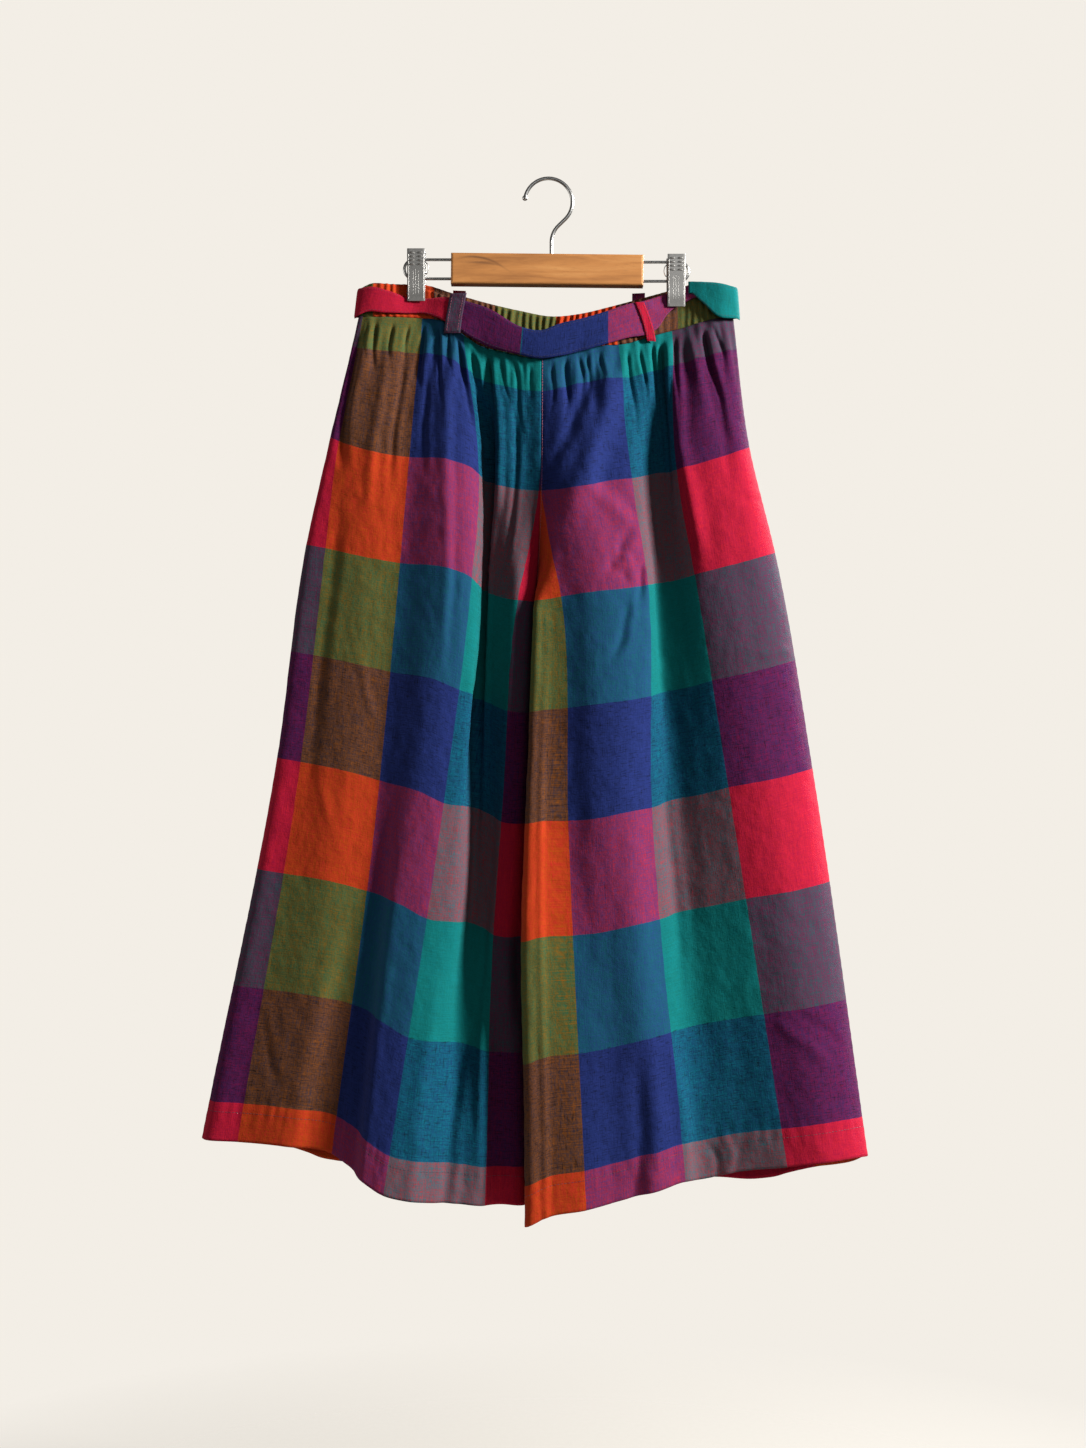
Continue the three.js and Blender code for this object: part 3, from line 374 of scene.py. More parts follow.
BACK_RIGHT_CREASES = [
    (0.42, 1.0, 0.30, 3.4, 8, 1.8), (1.05, 1.1, 1.00, 2.8, 7, -1.8), (1.70, 1.0, 1.78, 3.6, 8, -2.0),
    (2.20, 1.1, 2.05, 2.2, 6, 1.8), (2.60, 2.2, 1.90, 3.1, 6, -1.8), (2.70, 2.5, 2.10, 3.5, 6, 1.5),
    (0.60, 4.6, 0.85, 5.3, 6, 1.0), (1.40, 5.5, 1.52, 8.3, 12, 2.2), (0.90, 6.3, 0.82, 8.3, 9, -2.2),
    (2.30, 6.8, 2.42, 8.3, 9, -2.4)]
BACK_LEFT_CREASES = [
    (3.90, 1.0, 4.00, 3.2, 8, 1.8), (3.30, 1.1, 3.34, 2.7, 7, -1.8), (2.60, 1.0, 2.50, 3.4, 8, -1.9),
    (2.20, 1.1, 2.30, 2.4, 6, 1.6), (1.80, 2.2, 2.50, 3.0, 6, -1.8), (1.70, 2.6, 2.30, 3.6, 6, 1.6),
    (3.60, 4.4, 3.30, 5.2, 6, 1.0), (2.90, 5.6, 2.80, 8.3, 12, 2.0), (3.50, 6.2, 3.60, 8.3, 10, -2.2),
    (2.00, 6.9, 1.92, 8.3, 9, -2.2)]


def smoothstep(start, end, value):
    k = np.clip((np.asarray(value, float) - start) / (end - start), 0, 1)
    return k * k * (3 - 2 * k)


def slopes(knots, values, first=None, last=None):
    """Slopes of a smooth curve through values at uneven knots."""
    step = np.diff(knots)[:, None]
    rate = np.diff(values, axis=0) / step
    inside = (rate[:-1] * step[1:] + rate[1:] * step[:-1]) / (step[1:] + step[:-1])
    head = rate[:1] if first is None else np.array([first], float)
    tail = rate[-1:] if last is None else np.array([last], float)
    return np.vstack([head, inside, tail])


def on_curve(knots, values, slope, at):
    at = np.asarray(at, float)
    i = np.clip(np.searchsorted(knots, at, side="left") - 1, 0, len(knots) - 2)
    h = (knots[i + 1] - knots[i])[:, None]
    s = (at - knots[i])[:, None] / h
    return (values[i] * (1 + 2 * s) * (1 - s) ** 2 + slope[i] * h * s * (1 - s) ** 2
            + values[i + 1] * s * s * (3 - 2 * s) - slope[i + 1] * h * s * s * (1 - s))


def along(knots, values, at):
    """Smooth values at any place between the knots."""
    knots = np.array(knots, float)
    values = np.array(values, float)
    values = values[:, None] if values.ndim == 1 else values
    return on_curve(knots, values, slopes(knots, values), np.atleast_1d(at))


def equal_lengths(points, pieces):
    """Cuts a line of points (place and band) into equal lengths."""
    run = np.concatenate([[0], np.cumsum(np.linalg.norm(np.diff(points[:, :3], axis=0), axis=1))])
    want = np.linspace(0, run[-1], pieces + 1)
    return np.stack([np.interp(want, run, points[:, k]) for k in range(points.shape[1])], axis=1)


def curve(points, start_way, end_way, pieces):
    """A smooth curve through points with given end directions, in equal lengths."""
    knots = np.concatenate([[0], np.cumsum(np.linalg.norm(np.diff(points[:, :3], axis=0), axis=1))])
    rates = slopes(knots, points)
    rates[0, :3] = start_way
    rates[-1, :3] = end_way
    fine = np.interp(np.linspace(0, len(knots) - 1, 14 * (len(knots) - 1) + 1), np.arange(len(knots)), knots)
    return equal_lengths(on_curve(knots, points, rates, fine), pieces)


def gather_height(x):
    """The gathers are pressed flat under the clips."""
    near = sum(np.exp(-(((x - place) / 24) ** 2)) for place in CLIP_PLACES)
    return GATHER * (1 - 0.8 * near)


def seam_turn(row):
    """How far a panel's inner edge has turned, in radians: not at all at the waist, a quarter at the fork."""
    return float(smoothstep(TURN_FROM_ROW, FORK_ROW, row)) * 0.5 * math.pi


def panel_surface(lines, leg, out, levels):
    """Points of a panel's middle surface (place in mm and band) for each row of the cloth."""
    parts = np.array([[along(ROWS_AT, line[k], levels)[:, 0] for line in lines]
                      for k in (ACROSS, DEPTH, HEIGHT, BAND)])
    side, inner = (0, -1) if leg < 0 else (-1, 0)
    grid = []
    for r, row in enumerate(levels):
        def ease(start, end):
            return float(smoothstep(start, end, row))

        points = parts[:, :, r].T.copy()
        turn = seam_turn(row)
        points[side, 1] = out * 0.05
        if leg < 0 and out < 0:
            # The right side rolls over tightly just inside its seam.
            roll = points[0] + (points[1] - points[0]) * (0.12, 0.80, 0.12, 0.12)
            points = np.vstack([points[:1], roll, points[1:]])
        if leg > 0 and out < 0:
            # The left leg's inner edge rolls forward below the fork and falls back from there.
            k = ease(2.5, 3.1)
            lead = 0.94 - 0.16 * ease(5.5, 8)
            points[1, 1] += k * (lead * min(points[1, 1], points[2, 1]) - points[1, 1])
            roll = points[0] + (points[1] - points[0]) * (np.array((0.14, 1.03, 0.3, 0.14)) * k + 0.5 * (1 - k))
            points = np.vstack([points[:1], roll, points[1:]])
        # The inner edges of the two legs draw together, most of all at the shin.
        closing = (0.06 + 0.5 * ease(2.4, 3.2) + 0.6 * ease(4, 5.2)
                   + 1.2 * (ease(5, 7.4) * (1 - ease(7.9, LAST_ROW))))
        points[inner, 0] -= leg * (closing - 0.5 * ease(TURN_FROM_ROW, 3))
        points[inner, 1] = out * max(out * points[inner, 1], 0.05 + 0.5 * CLOTH_WALL * math.cos(turn))
        inner_way = (math.cos(turn), leg * out * math.sin(turn), 0)
        side_way = (0, -leg * out, 0)
        ways = (side_way, inner_way) if leg < 0 else (inner_way, side_way)
        line = curve(points, *ways, COLUMNS)
        share = np.linspace(0, 1, COLUMNS + 1)
        near = smoothstep(0.3, 0, share if inner == 0 else 1 - share)
        line[:, 0] -= near * (4.5 * math.exp(-(((row - 6.1) / 1.0) ** 2)))
        if leg < 0 and out < 0:
            # The right leg's inner edge tucks in a little above the shin.
            inset = np.exp(-(((line[-1, 0] - line[:, 0] - 9) / 6) ** 2))
            line[:, 1] += 9 * math.exp(-(((row - 6.25) / 0.38) ** 2)) * inset
        grid.append(line)
    return np.array(grid)


def outward(grid, out):
    """Unit directions straight out of a grid whose columns run right and whose rows run down."""
    right = np.gradient(grid, axis=1)
    down = np.gradient(grid, axis=0)
    n = np.cross(right, down) * (-1 if out < 0 else 1)
    return n / np.maximum(np.linalg.norm(n, axis=2, keepdims=True), 1e-9)


def ripples(seed, x, y):
    """Smooth uneven waves, the same on every run, from -1 to 1."""
    flat = np.stack([np.ravel(x), np.ravel(y)], axis=1)
    out = np.array([noise.noise((a, b, seed)) for a, b in flat])
    return out.reshape(np.shape(x))


def shell(name, outer, inner, bands, rows, material):
    """A closed thin wall between an outer and an inner grid in mm, with the cloth's own map."""
    nr, nc = outer.shape[:2]
    points = np.concatenate([outer.reshape(-1, 3), inner.reshape(-1, 3)]) * 0.001
    number = np.arange(nr * nc).reshape(nr, nc)
    back = number + nr * nc
    a, b, c, d = number[:-1, :-1], number[1:, :-1], number[1:, 1:], number[:-1, 1:]
    faces = [np.stack([a, b, c, d], -1).reshape(-1, 4)]
    a, b, c, d = back[:-1, :-1], back[:-1, 1:], back[1:, 1:], back[1:, :-1]
    faces.append(np.stack([a, b, c, d], -1).reshape(-1, 4))
    rims = ((number[0], back[0], False), (number[-1], back[-1], True),
            (number[:, 0], back[:, 0], True), (number[:, -1], back[:, -1], False))
    for f, k, flip in rims:
        quad = np.stack([f[:-1], f[1:], k[1:], k[:-1]], -1)
        faces.append(quad[:, ::-1] if flip else quad)
    faces = np.concatenate(faces)
    volume = 0.0
    for corners in ([0, 1, 2], [0, 2, 3]):
        tri = points[faces[:, corners]]
        volume += np.einsum("ij,ij->i", tri[:, 0], np.cross(tri[:, 1], tri[:, 2])).sum()
    if volume < 0:
        faces = faces[:, ::-1]
    mesh = bpy.data.meshes.new(name)
    mesh.vertices.add(len(points))
    mesh.vertices.foreach_set("co", points.ravel())
    mesh.loops.add(faces.size)
    mesh.loops.foreach_set("vertex_index", faces.ravel().astype(np.int32))
    mesh.polygons.add(len(faces))
    mesh.polygons.foreach_set("loop_start", np.arange(0, faces.size, 4, dtype=np.int32))
    mesh.update(calc_edges=True)
    chart = mesh.uv_layers.new(name="cloth")
    uv = np.stack([bands, rows], -1).reshape(-1, 2)
    uv = np.concatenate([uv, uv])[faces.ravel()]
    chart.data.foreach_set("uv", uv.ravel().astype(np.float32))
    mesh.polygons.foreach_set("use_smooth", np.ones(len(faces), dtype=bool))
    mesh.materials.append(material)
    mesh.validate()
    obj = bpy.data.objects.new(name, mesh)
    bpy.context.scene.collection.objects.link(obj)
    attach(obj, "root")
    return obj


def leg_panel(name, lines, creases, tucks, leg, out, seed):
    """Builds one dressed panel and returns it with its outer surface."""
    waist_rows, hem_rows = ROWS // 8, 15
    levels = np.concatenate([
        np.linspace(WAIST_ROW, 1.2, waist_rows, endpoint=False),
        np.linspace(1.2, HEM_ROW, ROWS + 1 - waist_rows - hem_rows, endpoint=False),
        np.linspace(HEM_ROW, LAST_ROW, hem_rows)])
    surface = panel_surface(lines, leg, out, levels)
    place = surface[:, :, :3].copy()
    band = surface[:, :, 3]
    row = np.repeat(levels[:, None], place.shape[1], axis=1)
    share = np.repeat(np.linspace(0, 1, place.shape[1])[None, :], place.shape[0], axis=0)
    edge = np.minimum(share, 1 - share)
    ends = np.clip(edge * 12, 0, 1)
    # Gathers: uneven little folds that spread and fade below the waist seam.
    wander = 0.35 * ripples(seed, share * 7, row * 0.6)
    many = np.cos(2 * np.pi * (14 * share + wander + 0.9 * np.sin(5.3 * share + seed)))
    few = np.cos(2 * np.pi * (7 * share + 0.6 * wander + 0.2 * seed))
    strength = 0.65 + 0.5 * ripples(seed + 4, share * 5, row * 0.3)
    below = smoothstep(WAIST_ROW, 1.0, row)
    tight = gather_height(place[:, :, 0])
    rise = tight * many * (1 - smoothstep(0.75, 1.2, row)) * (0.55 + 0.45 * below)
    spread = smoothstep(0.72, 0.92, row) * (1 - smoothstep(0.95, 1.5, row))
    rise += 1.9 * spread * np.cos(2 * np.pi * (11 * share + 0.8 * wander + 0.5 * np.sin(7 * share + 2 * seed)))
    rise += 1.5 * few * below * (1 - smoothstep(1.0, 2.1, row))
    rise = rise * strength * ends
    # Long soft folds and a slightly crumpled hand.
    rise += 1.5 * ripples(seed + 9, share * 4.2, row * 0.5) * below * ends
    for height, step, across, down in ((0.55, 13, 6.5, 6.0), (0.28, 17, 16, 15.0)):
        rise += height * ripples(seed + step, band * across, row * down) * below * np.clip(edge * 30, 0, 1)
    pinches = [(u, TUCK_ROW, u + lean, v, width, -depth) for u, lean, v, width, depth in tucks]
    for u0, v0, u1, v1, width, lift in creases + pinches:
        du, dv = (u1 - u0) * WARP_BAND, (v1 - v0) * WEFT_BAND
        pu, pv = (band - u0) * WARP_BAND, (row - v0) * WEFT_BAND
        length = math.hypot(du, dv)
        t = (pu * du + pv * dv) / length ** 2
        bend = 3.0 * np.sin(np.clip(t, 0, 1) * 3.1 + seed) + 1.2 * np.sin(np.clip(t, 0, 1) * 9 + 2 * seed)
        away = (pu * dv - pv * du) / length + bend
        fade = smoothstep(-0.06, 0.22, t) * (1 - smoothstep(0.68, 1.06, t))
        tuck = v0 == TUCK_ROW
        if tuck:
            fade = smoothstep(0.0, 0.12, t) * (1 - t.clip(0, 1)) ** 1.2 * 1.25
        if v1 > RUNS_OUT_ROW:
            fade = smoothstep(-0.06, 0.4, t)
        ridge = np.exp(-((away / width) ** 2)) - 0.35 * np.exp(-(((away - 1.6 * width) / width) ** 2))
        rise += lift * (1.25 if tuck else 1.15) * ridge * fade * np.clip(edge * 14, 0, 1) * smoothstep(0.70, 0.86, row)
    # Puckers along the stitched hem and the seams.
    at_hem = np.exp(-(((row - HEM_ROW) / 0.035) ** 2))
    rise -= 0.55 * at_hem
    waves = np.sin(band * 52 + 4 * ripples(seed + 21, band * 3, row))
    rise += 0.35 * np.exp(-(((row - 8.05) / 0.12) ** 2)) * waves * ends
    seam = np.exp(-((edge * place.shape[1] / 1.6) ** 2))
    rise += seam * 0.25 * np.sin(row * 61 + seed) * below
    side_n = outward(place, out)
    last = place.shape[1] - 1
    for r, level in enumerate(levels):
        turn = seam_turn(level)
        side_n[r, 0 if leg < 0 else last] = (leg, 0, 0)
        side_n[r, last if leg < 0 else 0] = (-leg * math.sin(turn), out * math.cos(turn), 0)
    place += side_n * rise[:, :, None] * np.where((share == 0) | (share == 1), 0.0, 1.0)[:, :, None]
    n = outward(place, out)
    n[:, 0], n[:, last] = side_n[:, 0], side_n[:, last]
    half = 0.5 * CLOTH_WALL
    wall = np.where(row > HEM_ROW, HEM_WALL - half, half)[:, :, None]
    outer = place + n * half
    obj = shell(name, outer, place - n * wall, band, row, check_linen)
    return obj, outer, n, levels


# Tucks pinched in by the elastic: band, lean, lower end in rows, width and depth in mm.
FRONT_RIGHT_TUCKS = [(0.15, 0.02, 1.15, 3.0, 2.6), (0.29, 0.03, 1.30, 3.6, 3.4), (0.55, -0.04, 1.22, 3.8, 3.2),
                     (0.80, -0.06, 1.15, 3.0, 2.6), (1.07, -0.02, 1.45, 3.6, 2.8), (1.38, 0.05, 1.60, 4.4, 3.4),
                     (1.62, 0.0, 1.20, 3.2, 2.6), (1.90, 0.10, 1.95, 5.0, 3.8), (2.12, 0.05, 2.3, 5.0, 4.6),
                     (2.34, 0.02, 1.9, 4.0, 3.8), (2.52, 0.03, 1.25, 3.0, 2.8), (2.70, 0.02, 1.6, 3.8, 3.6),
                     (2.87, 0.0, 1.2, 2.6, 2.2)]
FRONT_LEFT_TUCKS = [(1.13, -0.02, 1.3, 3.2, 2.6), (1.31, -0.03, 1.45, 4.0, 3.6), (1.48, 0.03, 1.12, 3.0, 2.6),
                    (1.62, -0.07, 1.25, 3.6, 3.4), (1.78, -0.05, 1.15, 3.0, 2.6), (2.12, 0.02, 1.7, 4.0, 3.2),
                    (2.34, 0.02, 1.4, 3.6, 3.2), (2.60, 0.03, 2.3, 5.0, 4.2), (2.78, -0.03, 2.5, 8.0, 6.5),
                    (3.04, 0.04, 1.9, 4.2, 3.4), (3.42, 0.09, 1.95, 3.8, 4.4), (3.56, 0.05, 1.25, 3.0, 2.6)]
BACK_RIGHT_TUCKS = [(0.30, 0.0, 1.5, 3.0, 2.4), (0.62, -0.02, 1.8, 3.4, 2.8), (0.92, 0.0, 1.35, 2.8, 2.2),
                    (1.22, 0.02, 1.7, 3.2, 2.8), (1.56, 0.0, 1.5, 3.0, 2.4), (1.86, 0.04, 2.0, 3.6, 3.0),
                    (2.20, 0.0, 1.4, 2.8, 2.4), (2.46, 0.02, 1.8, 3.4, 2.8), (2.70, 0.0, 1.5, 2.8, 2.2)]
BACK_LEFT_TUCKS = [(1.70, 0.0, 1.5, 3.0, 2.4), (1.98, -0.02, 1.8, 3.4, 2.8), (2.30, 0.0, 1.4, 2.8, 2.4),
                   (2.62, 0.03, 1.9, 3.4, 3.0), (2.95, 0.0, 1.5, 3.0, 2.4), (3.24, 0.02, 1.7, 3.2, 2.8),
                   (3.55, 0.0, 1.35, 2.8, 2.2), (3.84, 0.03, 1.8, 3.4, 2.8), (4.10, 0.0, 1.5, 2.8, 2.2)]

dressed = {}
for name, lines, creases, tucks, leg, out, seed in (
        ("front_right", FRONT_RIGHT, FRONT_RIGHT_CREASES, FRONT_RIGHT_TUCKS, -1, -1, 1.3),
        ("front_left", FRONT_LEFT, FRONT_LEFT_CREASES, FRONT_LEFT_TUCKS, 1, -1, 2.7),
        ("back_right", BACK_RIGHT, BACK_RIGHT_CREASES, BACK_RIGHT_TUCKS, -1, 1, 4.1),
        ("back_left", BACK_LEFT, BACK_LEFT_CREASES, BACK_LEFT_TUCKS, 1, 1, 5.9)):
    dressed[name] = leg_panel("linen_" + name, lines, creases, tucks, leg, out, seed)
    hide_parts(name)


# ---------------------------------------------------------------- waistband
# Two linen casings, front and back, ruched on wide elastic that gathers them into fine uneven folds.
# Each is sewn to its two leg panels below and folded over at the top; the clips pinch them flat.
FRONT_TOP = [(-206, -119, 0), (-198, -116, -5), (-172, -115, -5), (-156, -116, -1.3), (-135, -120, -1.3),
             (-112, -129, -6), (-65, -150, -14), (-32, -165, -17), (-4, -170, -18), (34, -159, -17), (67, -148, -14),
             (104, -134, -6), (129, -125, -1.3), (150, -121, -1.3), (172, -121, -5), (194, -122, -5), (201, -120, 0)]
BACK_TOP = [(-206, -119, 0), (-198, -113, 5), (-172, -113, 5), (-156, -114, 1.3), (-135, -115, 1.3),
            (-109, -122, 6), (-61, -134, 14), (-32, -140, 17), (4, -146, 18), (36, -143, 17), (68, -136, 14),
            (104, -128, 6), (129, -122, 1.3), (150, -116, 1.3), (172, -114, 5), (194, -117, 5), (201, -120, 0)]
CASING_COLUMNS = 460
CASING_LIFTS = 14
CASING_WALL = 1.2
CASING_FOLDS = 57


def casing_lines(face):
    """The seam line below a casing and its top edge, in mm."""
    out = -1 if face == "front" else 1
    right, left, top = (FRONT_RIGHT, FRONT_LEFT, FRONT_TOP) if out < 0 else (BACK_RIGHT, BACK_LEFT, BACK_TOP)
    seam = [panel_surface(lines, leg, out, np.array([WAIST_ROW]))[0] for lines, leg in ((right, -1), (left, 1))]
    low = np.concatenate(seam)[:, :3] + np.array([0, 0, 0.3])
    edge = np.array([(x, y, z) for x, z, y in top], float)
    edge[0, 1] = edge[-1, 1] = out * 0.2
    return equal_lengths(low, CASING_COLUMNS), curve(edge, (0, out, 0), (0, -out, 0), CASING_COLUMNS)


CASING = {face: casing_lines(face) for face in ("front", "back")}


def on_casing(face, share, lift):
    """Places on a casing: share runs from the viewer's left to right, lift from the seam to the top edge."""
    low, high = CASING[face]
    at = np.clip(share, 0, 0.99999) * CASING_COLUMNS
    i = np.floor(at).astype(int)
    t = (at - i)[..., None]
    a = low[i] * (1 - t) + low[i + 1] * t
    b = high[i] * (1 - t) + high[i + 1] * t
    lift = np.asarray(lift, float)
    eased = np.stack([lift, 1 - (1 - lift) ** 2, lift], -1)
    return a + (b - a) * eased


def casing(face, seed):
    out = -1 if face == "front" else 1
    share, lift = np.meshgrid(np.linspace(0, 1, CASING_COLUMNS + 1), np.linspace(1, 0, CASING_LIFTS))
    place = on_casing(face, share, lift)
    ends = np.clip(14 * np.minimum(share, 1 - share), 0, 1)
    wander = ripples(seed, share * 16, lift * 0.7)
    folds = np.cos(2 * np.pi * (CASING_FOLDS * share + 0.55 * wander + 0.12 * np.sin(5 * lift + 9 * share)))
    folds = (folds * (0.7 + 0.4 * ripples(seed + 3, share * 30, lift * 1.5))
             + 0.25 * np.cos(2 * np.pi * 23 * share + seed))
    rise = 0.72 * gather_height(place[:, :, 0]) * ends * np.clip(folds, -1.3, 1.3)
    n = outward(place, out)
    n[:, :, 2] = 0
    n[:, 0], n[:, -1] = (-1, 0, 0), (1, 0, 0)
    n /= np.linalg.norm(n, axis=2, keepdims=True)
    rise[:, 0] = rise[:, -1] = 0
    place = place + n * rise[:, :, None]
    # The top edge dips a little between the folds.
    place[:, :, 2] -= (1 - folds) * 0.35 * ends * smoothstep(0.5, 1, lift)
    half = 0.5 * CASING_WALL * np.where(lift > 0.95, 0.55, 1.0)[:, :, None]
    weft = (8 - place[:, :, 0]) / 67
    warp = 0.2 + 0.5 * lift + 0.02 * wander
    obj = shell("linen_casing_" + face, place + n * half, place - n * half, warp, weft, check_linen)
    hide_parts("waistband_" + face)
    return obj


casing_front = casing("front", 3.1)
casing_back = casing("back", 6.4)

for key, (obj, *_) in dressed.items():
    casing_front if "front" in key else casing_back


# ---------------------------------------------------------------- sash belt
# A sash of doubled linen 35 mm wide, cut along the warp and joined from short lengths.
# It runs round the waist through the loops, folds over at the left side and its end laps on top.
BELT_FRONT = {
    "across": [-206, -199, -179, -156, -135, -109, -89, -68, -29, -11,
               9, 38, 61, 86, 107, 118, 129, 149, 160, 190],
    "top": [-120, -119, -123, -130, -131, -131, -137, -145, -166, -169,
            -162, -155, -148, -139, -134, -130, -126, -119, -114, -118],
    "bottom": [-152, -148, -148, -148, -148, -159, -172, -184, -196, -200,
               -198, -191, -184, -176, -171, -164, -149, -136, -131, -136]}
BELT_BACK = {
    "across": [-206, -190, -150, -110, -60, 0, 60, 110, 150, 185, 201],
    "top": [-120, -118, -121, -127, -141, -151, -143, -131, -123, -119, -119],
    "bottom": [-150, -148, -150, -158, -172, -182, -174, -162, -152, -150, -151]}
BELT_FLAP = {"across": [159, 171, 183, 201], "top": [-113, -114, -115, -119], "bottom": [-126, -139, -152, -154]}
BELT_WALL = 1.6
BELT_ACROSS = 15
BELT_STATIONS = 150
BELT_CLEAR = 0.6


def belt_run():
    """Stations along the belt: face, share of that face, edge table and how far it laps."""
    front = [("front", s, BELT_FRONT, 0.0) for s in np.linspace(0.95, 0, BELT_STATIONS)]
    back = [("back", s, BELT_BACK, float(smoothstep(38 / 46, 45 / 46, k / (BELT_STATIONS - 1))))
            for k, s in enumerate(np.linspace(0, 0.996, BELT_STATIONS))][1:]
    lap = [("front", s, BELT_FLAP, 1.0) for s in np.linspace(1, 0.885, 26)]
    return front + back + lap


def lay_belt():
    run = belt_run()
    path = np.array([on_casing(f, np.array(s), np.array(0.5)) for f, s, _, _ in run])
    ahead = path[np.minimum(np.arange(len(path)) + 1, len(path) - 1)]
    behind = path[np.maximum(np.arange(len(path)) - 1, 0)]
    step = (ahead - behind)[:, :2]
    step /= np.linalg.norm(step, axis=1, keepdims=True)
    n = np.stack([-step[:, 1], step[:, 0], np.zeros(len(path))], -1)
    width = np.linspace(1, 0, BELT_ACROSS)
    place = np.zeros((len(run), BELT_ACROSS, 3))
    for i, (face, share, edges, lap) in enumerate(run):
        x = float(np.clip(path[i][0], edges["across"][0], edges["across"][-1]))
        top = along(edges["across"], edges["top"], x)[0, 0]
        bottom = along(edges["across"], edges["bottom"], x)[0, 0]
        height = bottom + (top - bottom) * width
        low, high = (on_casing(face, np.array(share), np.array(k))[2] for k in (0.0, 1.0))
        base = on_casing(face, np.full(BELT_ACROSS, share), (height - low) / (high - low))
        tall = gather_height(x)
        off = tall + 0.5 * CASING_WALL + BELT_CLEAR + 0.5 * BELT_WALL + lap * (BELT_WALL + 0.4)
        off = off + 1.4 * (1 - width) * tall / GATHER
        place[i] = base + n[i] * off[:, None]
        place[i, :, 2] = height
    return run, place, n


belt_stations, belt_middle, belt_ways = lay_belt()


def belt_map(run, place):
    """The belt's own place on the woven check: warp bands across it, weft bands along it."""
    warp = np.zeros(place.shape[:2])
    weft = np.zeros(place.shape[:2])
    for i, (face, share, edges, lap) in enumerate(run):
        x = place[i, BELT_ACROSS // 2, 0]
        if face == "front" and lap == 0 and x > -29:
            first, weft[i] = 1.35, 2 + (x - 64) / WEFT_BAND
        elif face == "front" and lap == 0:
            first, weft[i] = 3.35, 2 - (x + 104) / WEFT_BAND
        elif face == "back" and x < -6:
            first, weft[i] = 3.35, 2.84 + (x + 206) / WEFT_BAND
        elif face == "back":
            first, weft[i] = 2.35, 1.9 - x / WEFT_BAND
        else:
            first, weft[i] = 2.35, 0.35 + (x - 159) / 300
        warp[i] = first + np.linspace(0, 0.3, BELT_ACROSS)
    return warp, weft


def belt_piece():
    run, place, n = belt_stations, belt_middle.copy(), belt_ways
    width = np.linspace(1, 0, BELT_ACROSS)[None, :]
    steps = np.arange(len(run))[:, None] / 12.0
    # The two layers hug each other with a soft roll at the edges and small tucks where the belt turns.
    rise = (0.22 * np.sin(steps * 2.1 + 3 * width)
            + 0.18 * ripples(8.8, steps * 1.3 + 0 * width, width * 2 + 0 * steps) + 0.22)
    laps = np.array([lap for *_, lap in run])[:, None]
    in_front = np.array([face == "front" for face, *_ in run])[:, None] & (laps == 0)
    fold = np.exp(-(((place[:, :, 0] - 118 + (width - 0.5) * 26) / 5) ** 2)) * in_front
    rise = rise + 0.9 * fold
    rise *= np.clip((laps < 0.02) + 0.3, 0, 1)
    way = np.repeat(n[:, None, :], BELT_ACROSS, axis=1)
    place = place + way * rise[:, :, None]
    roll = np.clip(np.minimum(width, 1 - width) * 9, 0, 1) ** 0.5
    half = (0.5 * BELT_WALL * (0.35 + 0.65 * roll))[:, :, None]
    warp, weft = belt_map(run, place)
    obj = shell("linen_belt", place + way * half, place - way * half, warp, weft, check_linen)
    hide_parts("belt")
    return obj, place + way * half


belt, belt_outer = belt_piece()


def belt_face(face, x, z):
    """Y of the belt's outer face at a place, in mm."""
    pick = np.array([f == face and lap < 1 for f, _, _, lap in belt_stations])
    rows = belt_outer[pick]
    middle = rows[:, BELT_ACROSS // 2, 0]
    i = int(np.argmin(np.abs(middle - x)))
    order = np.argsort(rows[i, :, 2])
    return float(np.interp(z, rows[i, order, 2], rows[i, order, 1]))


# ---------------------------------------------------------------- belt loops
# Four narrow linen strips, folded in three and edge-stitched, that hold the belt against the waistband.
# Each is caught in the seams above and below the belt.
# Name, face, places across and heights of three points, width in mm, bend at the top and place on the check.
LOOPS = [
    ("loop_front_right", "front", (-99, -103, -106), (-127, -149, -171), 18, 1, (3.38, 0.42)),
    ("loop_front_left", "front", (99, 107, 112), (-137, -158, -179), 10, 0, (3.40, 2.30)),
    ("loop_back_right", "back", (-99, -99, -99), (-119, -144, -169), 14, 1, (3.38, 2.35)),
    ("loop_back_left", "back", (99, 99, 99), (-122, -147, -172), 14, 1, (1.40, 2.35)),
]
LOOP_WALL = 1.2
LOOP_CLEAR = 1.15
LOOP_STEP = 22


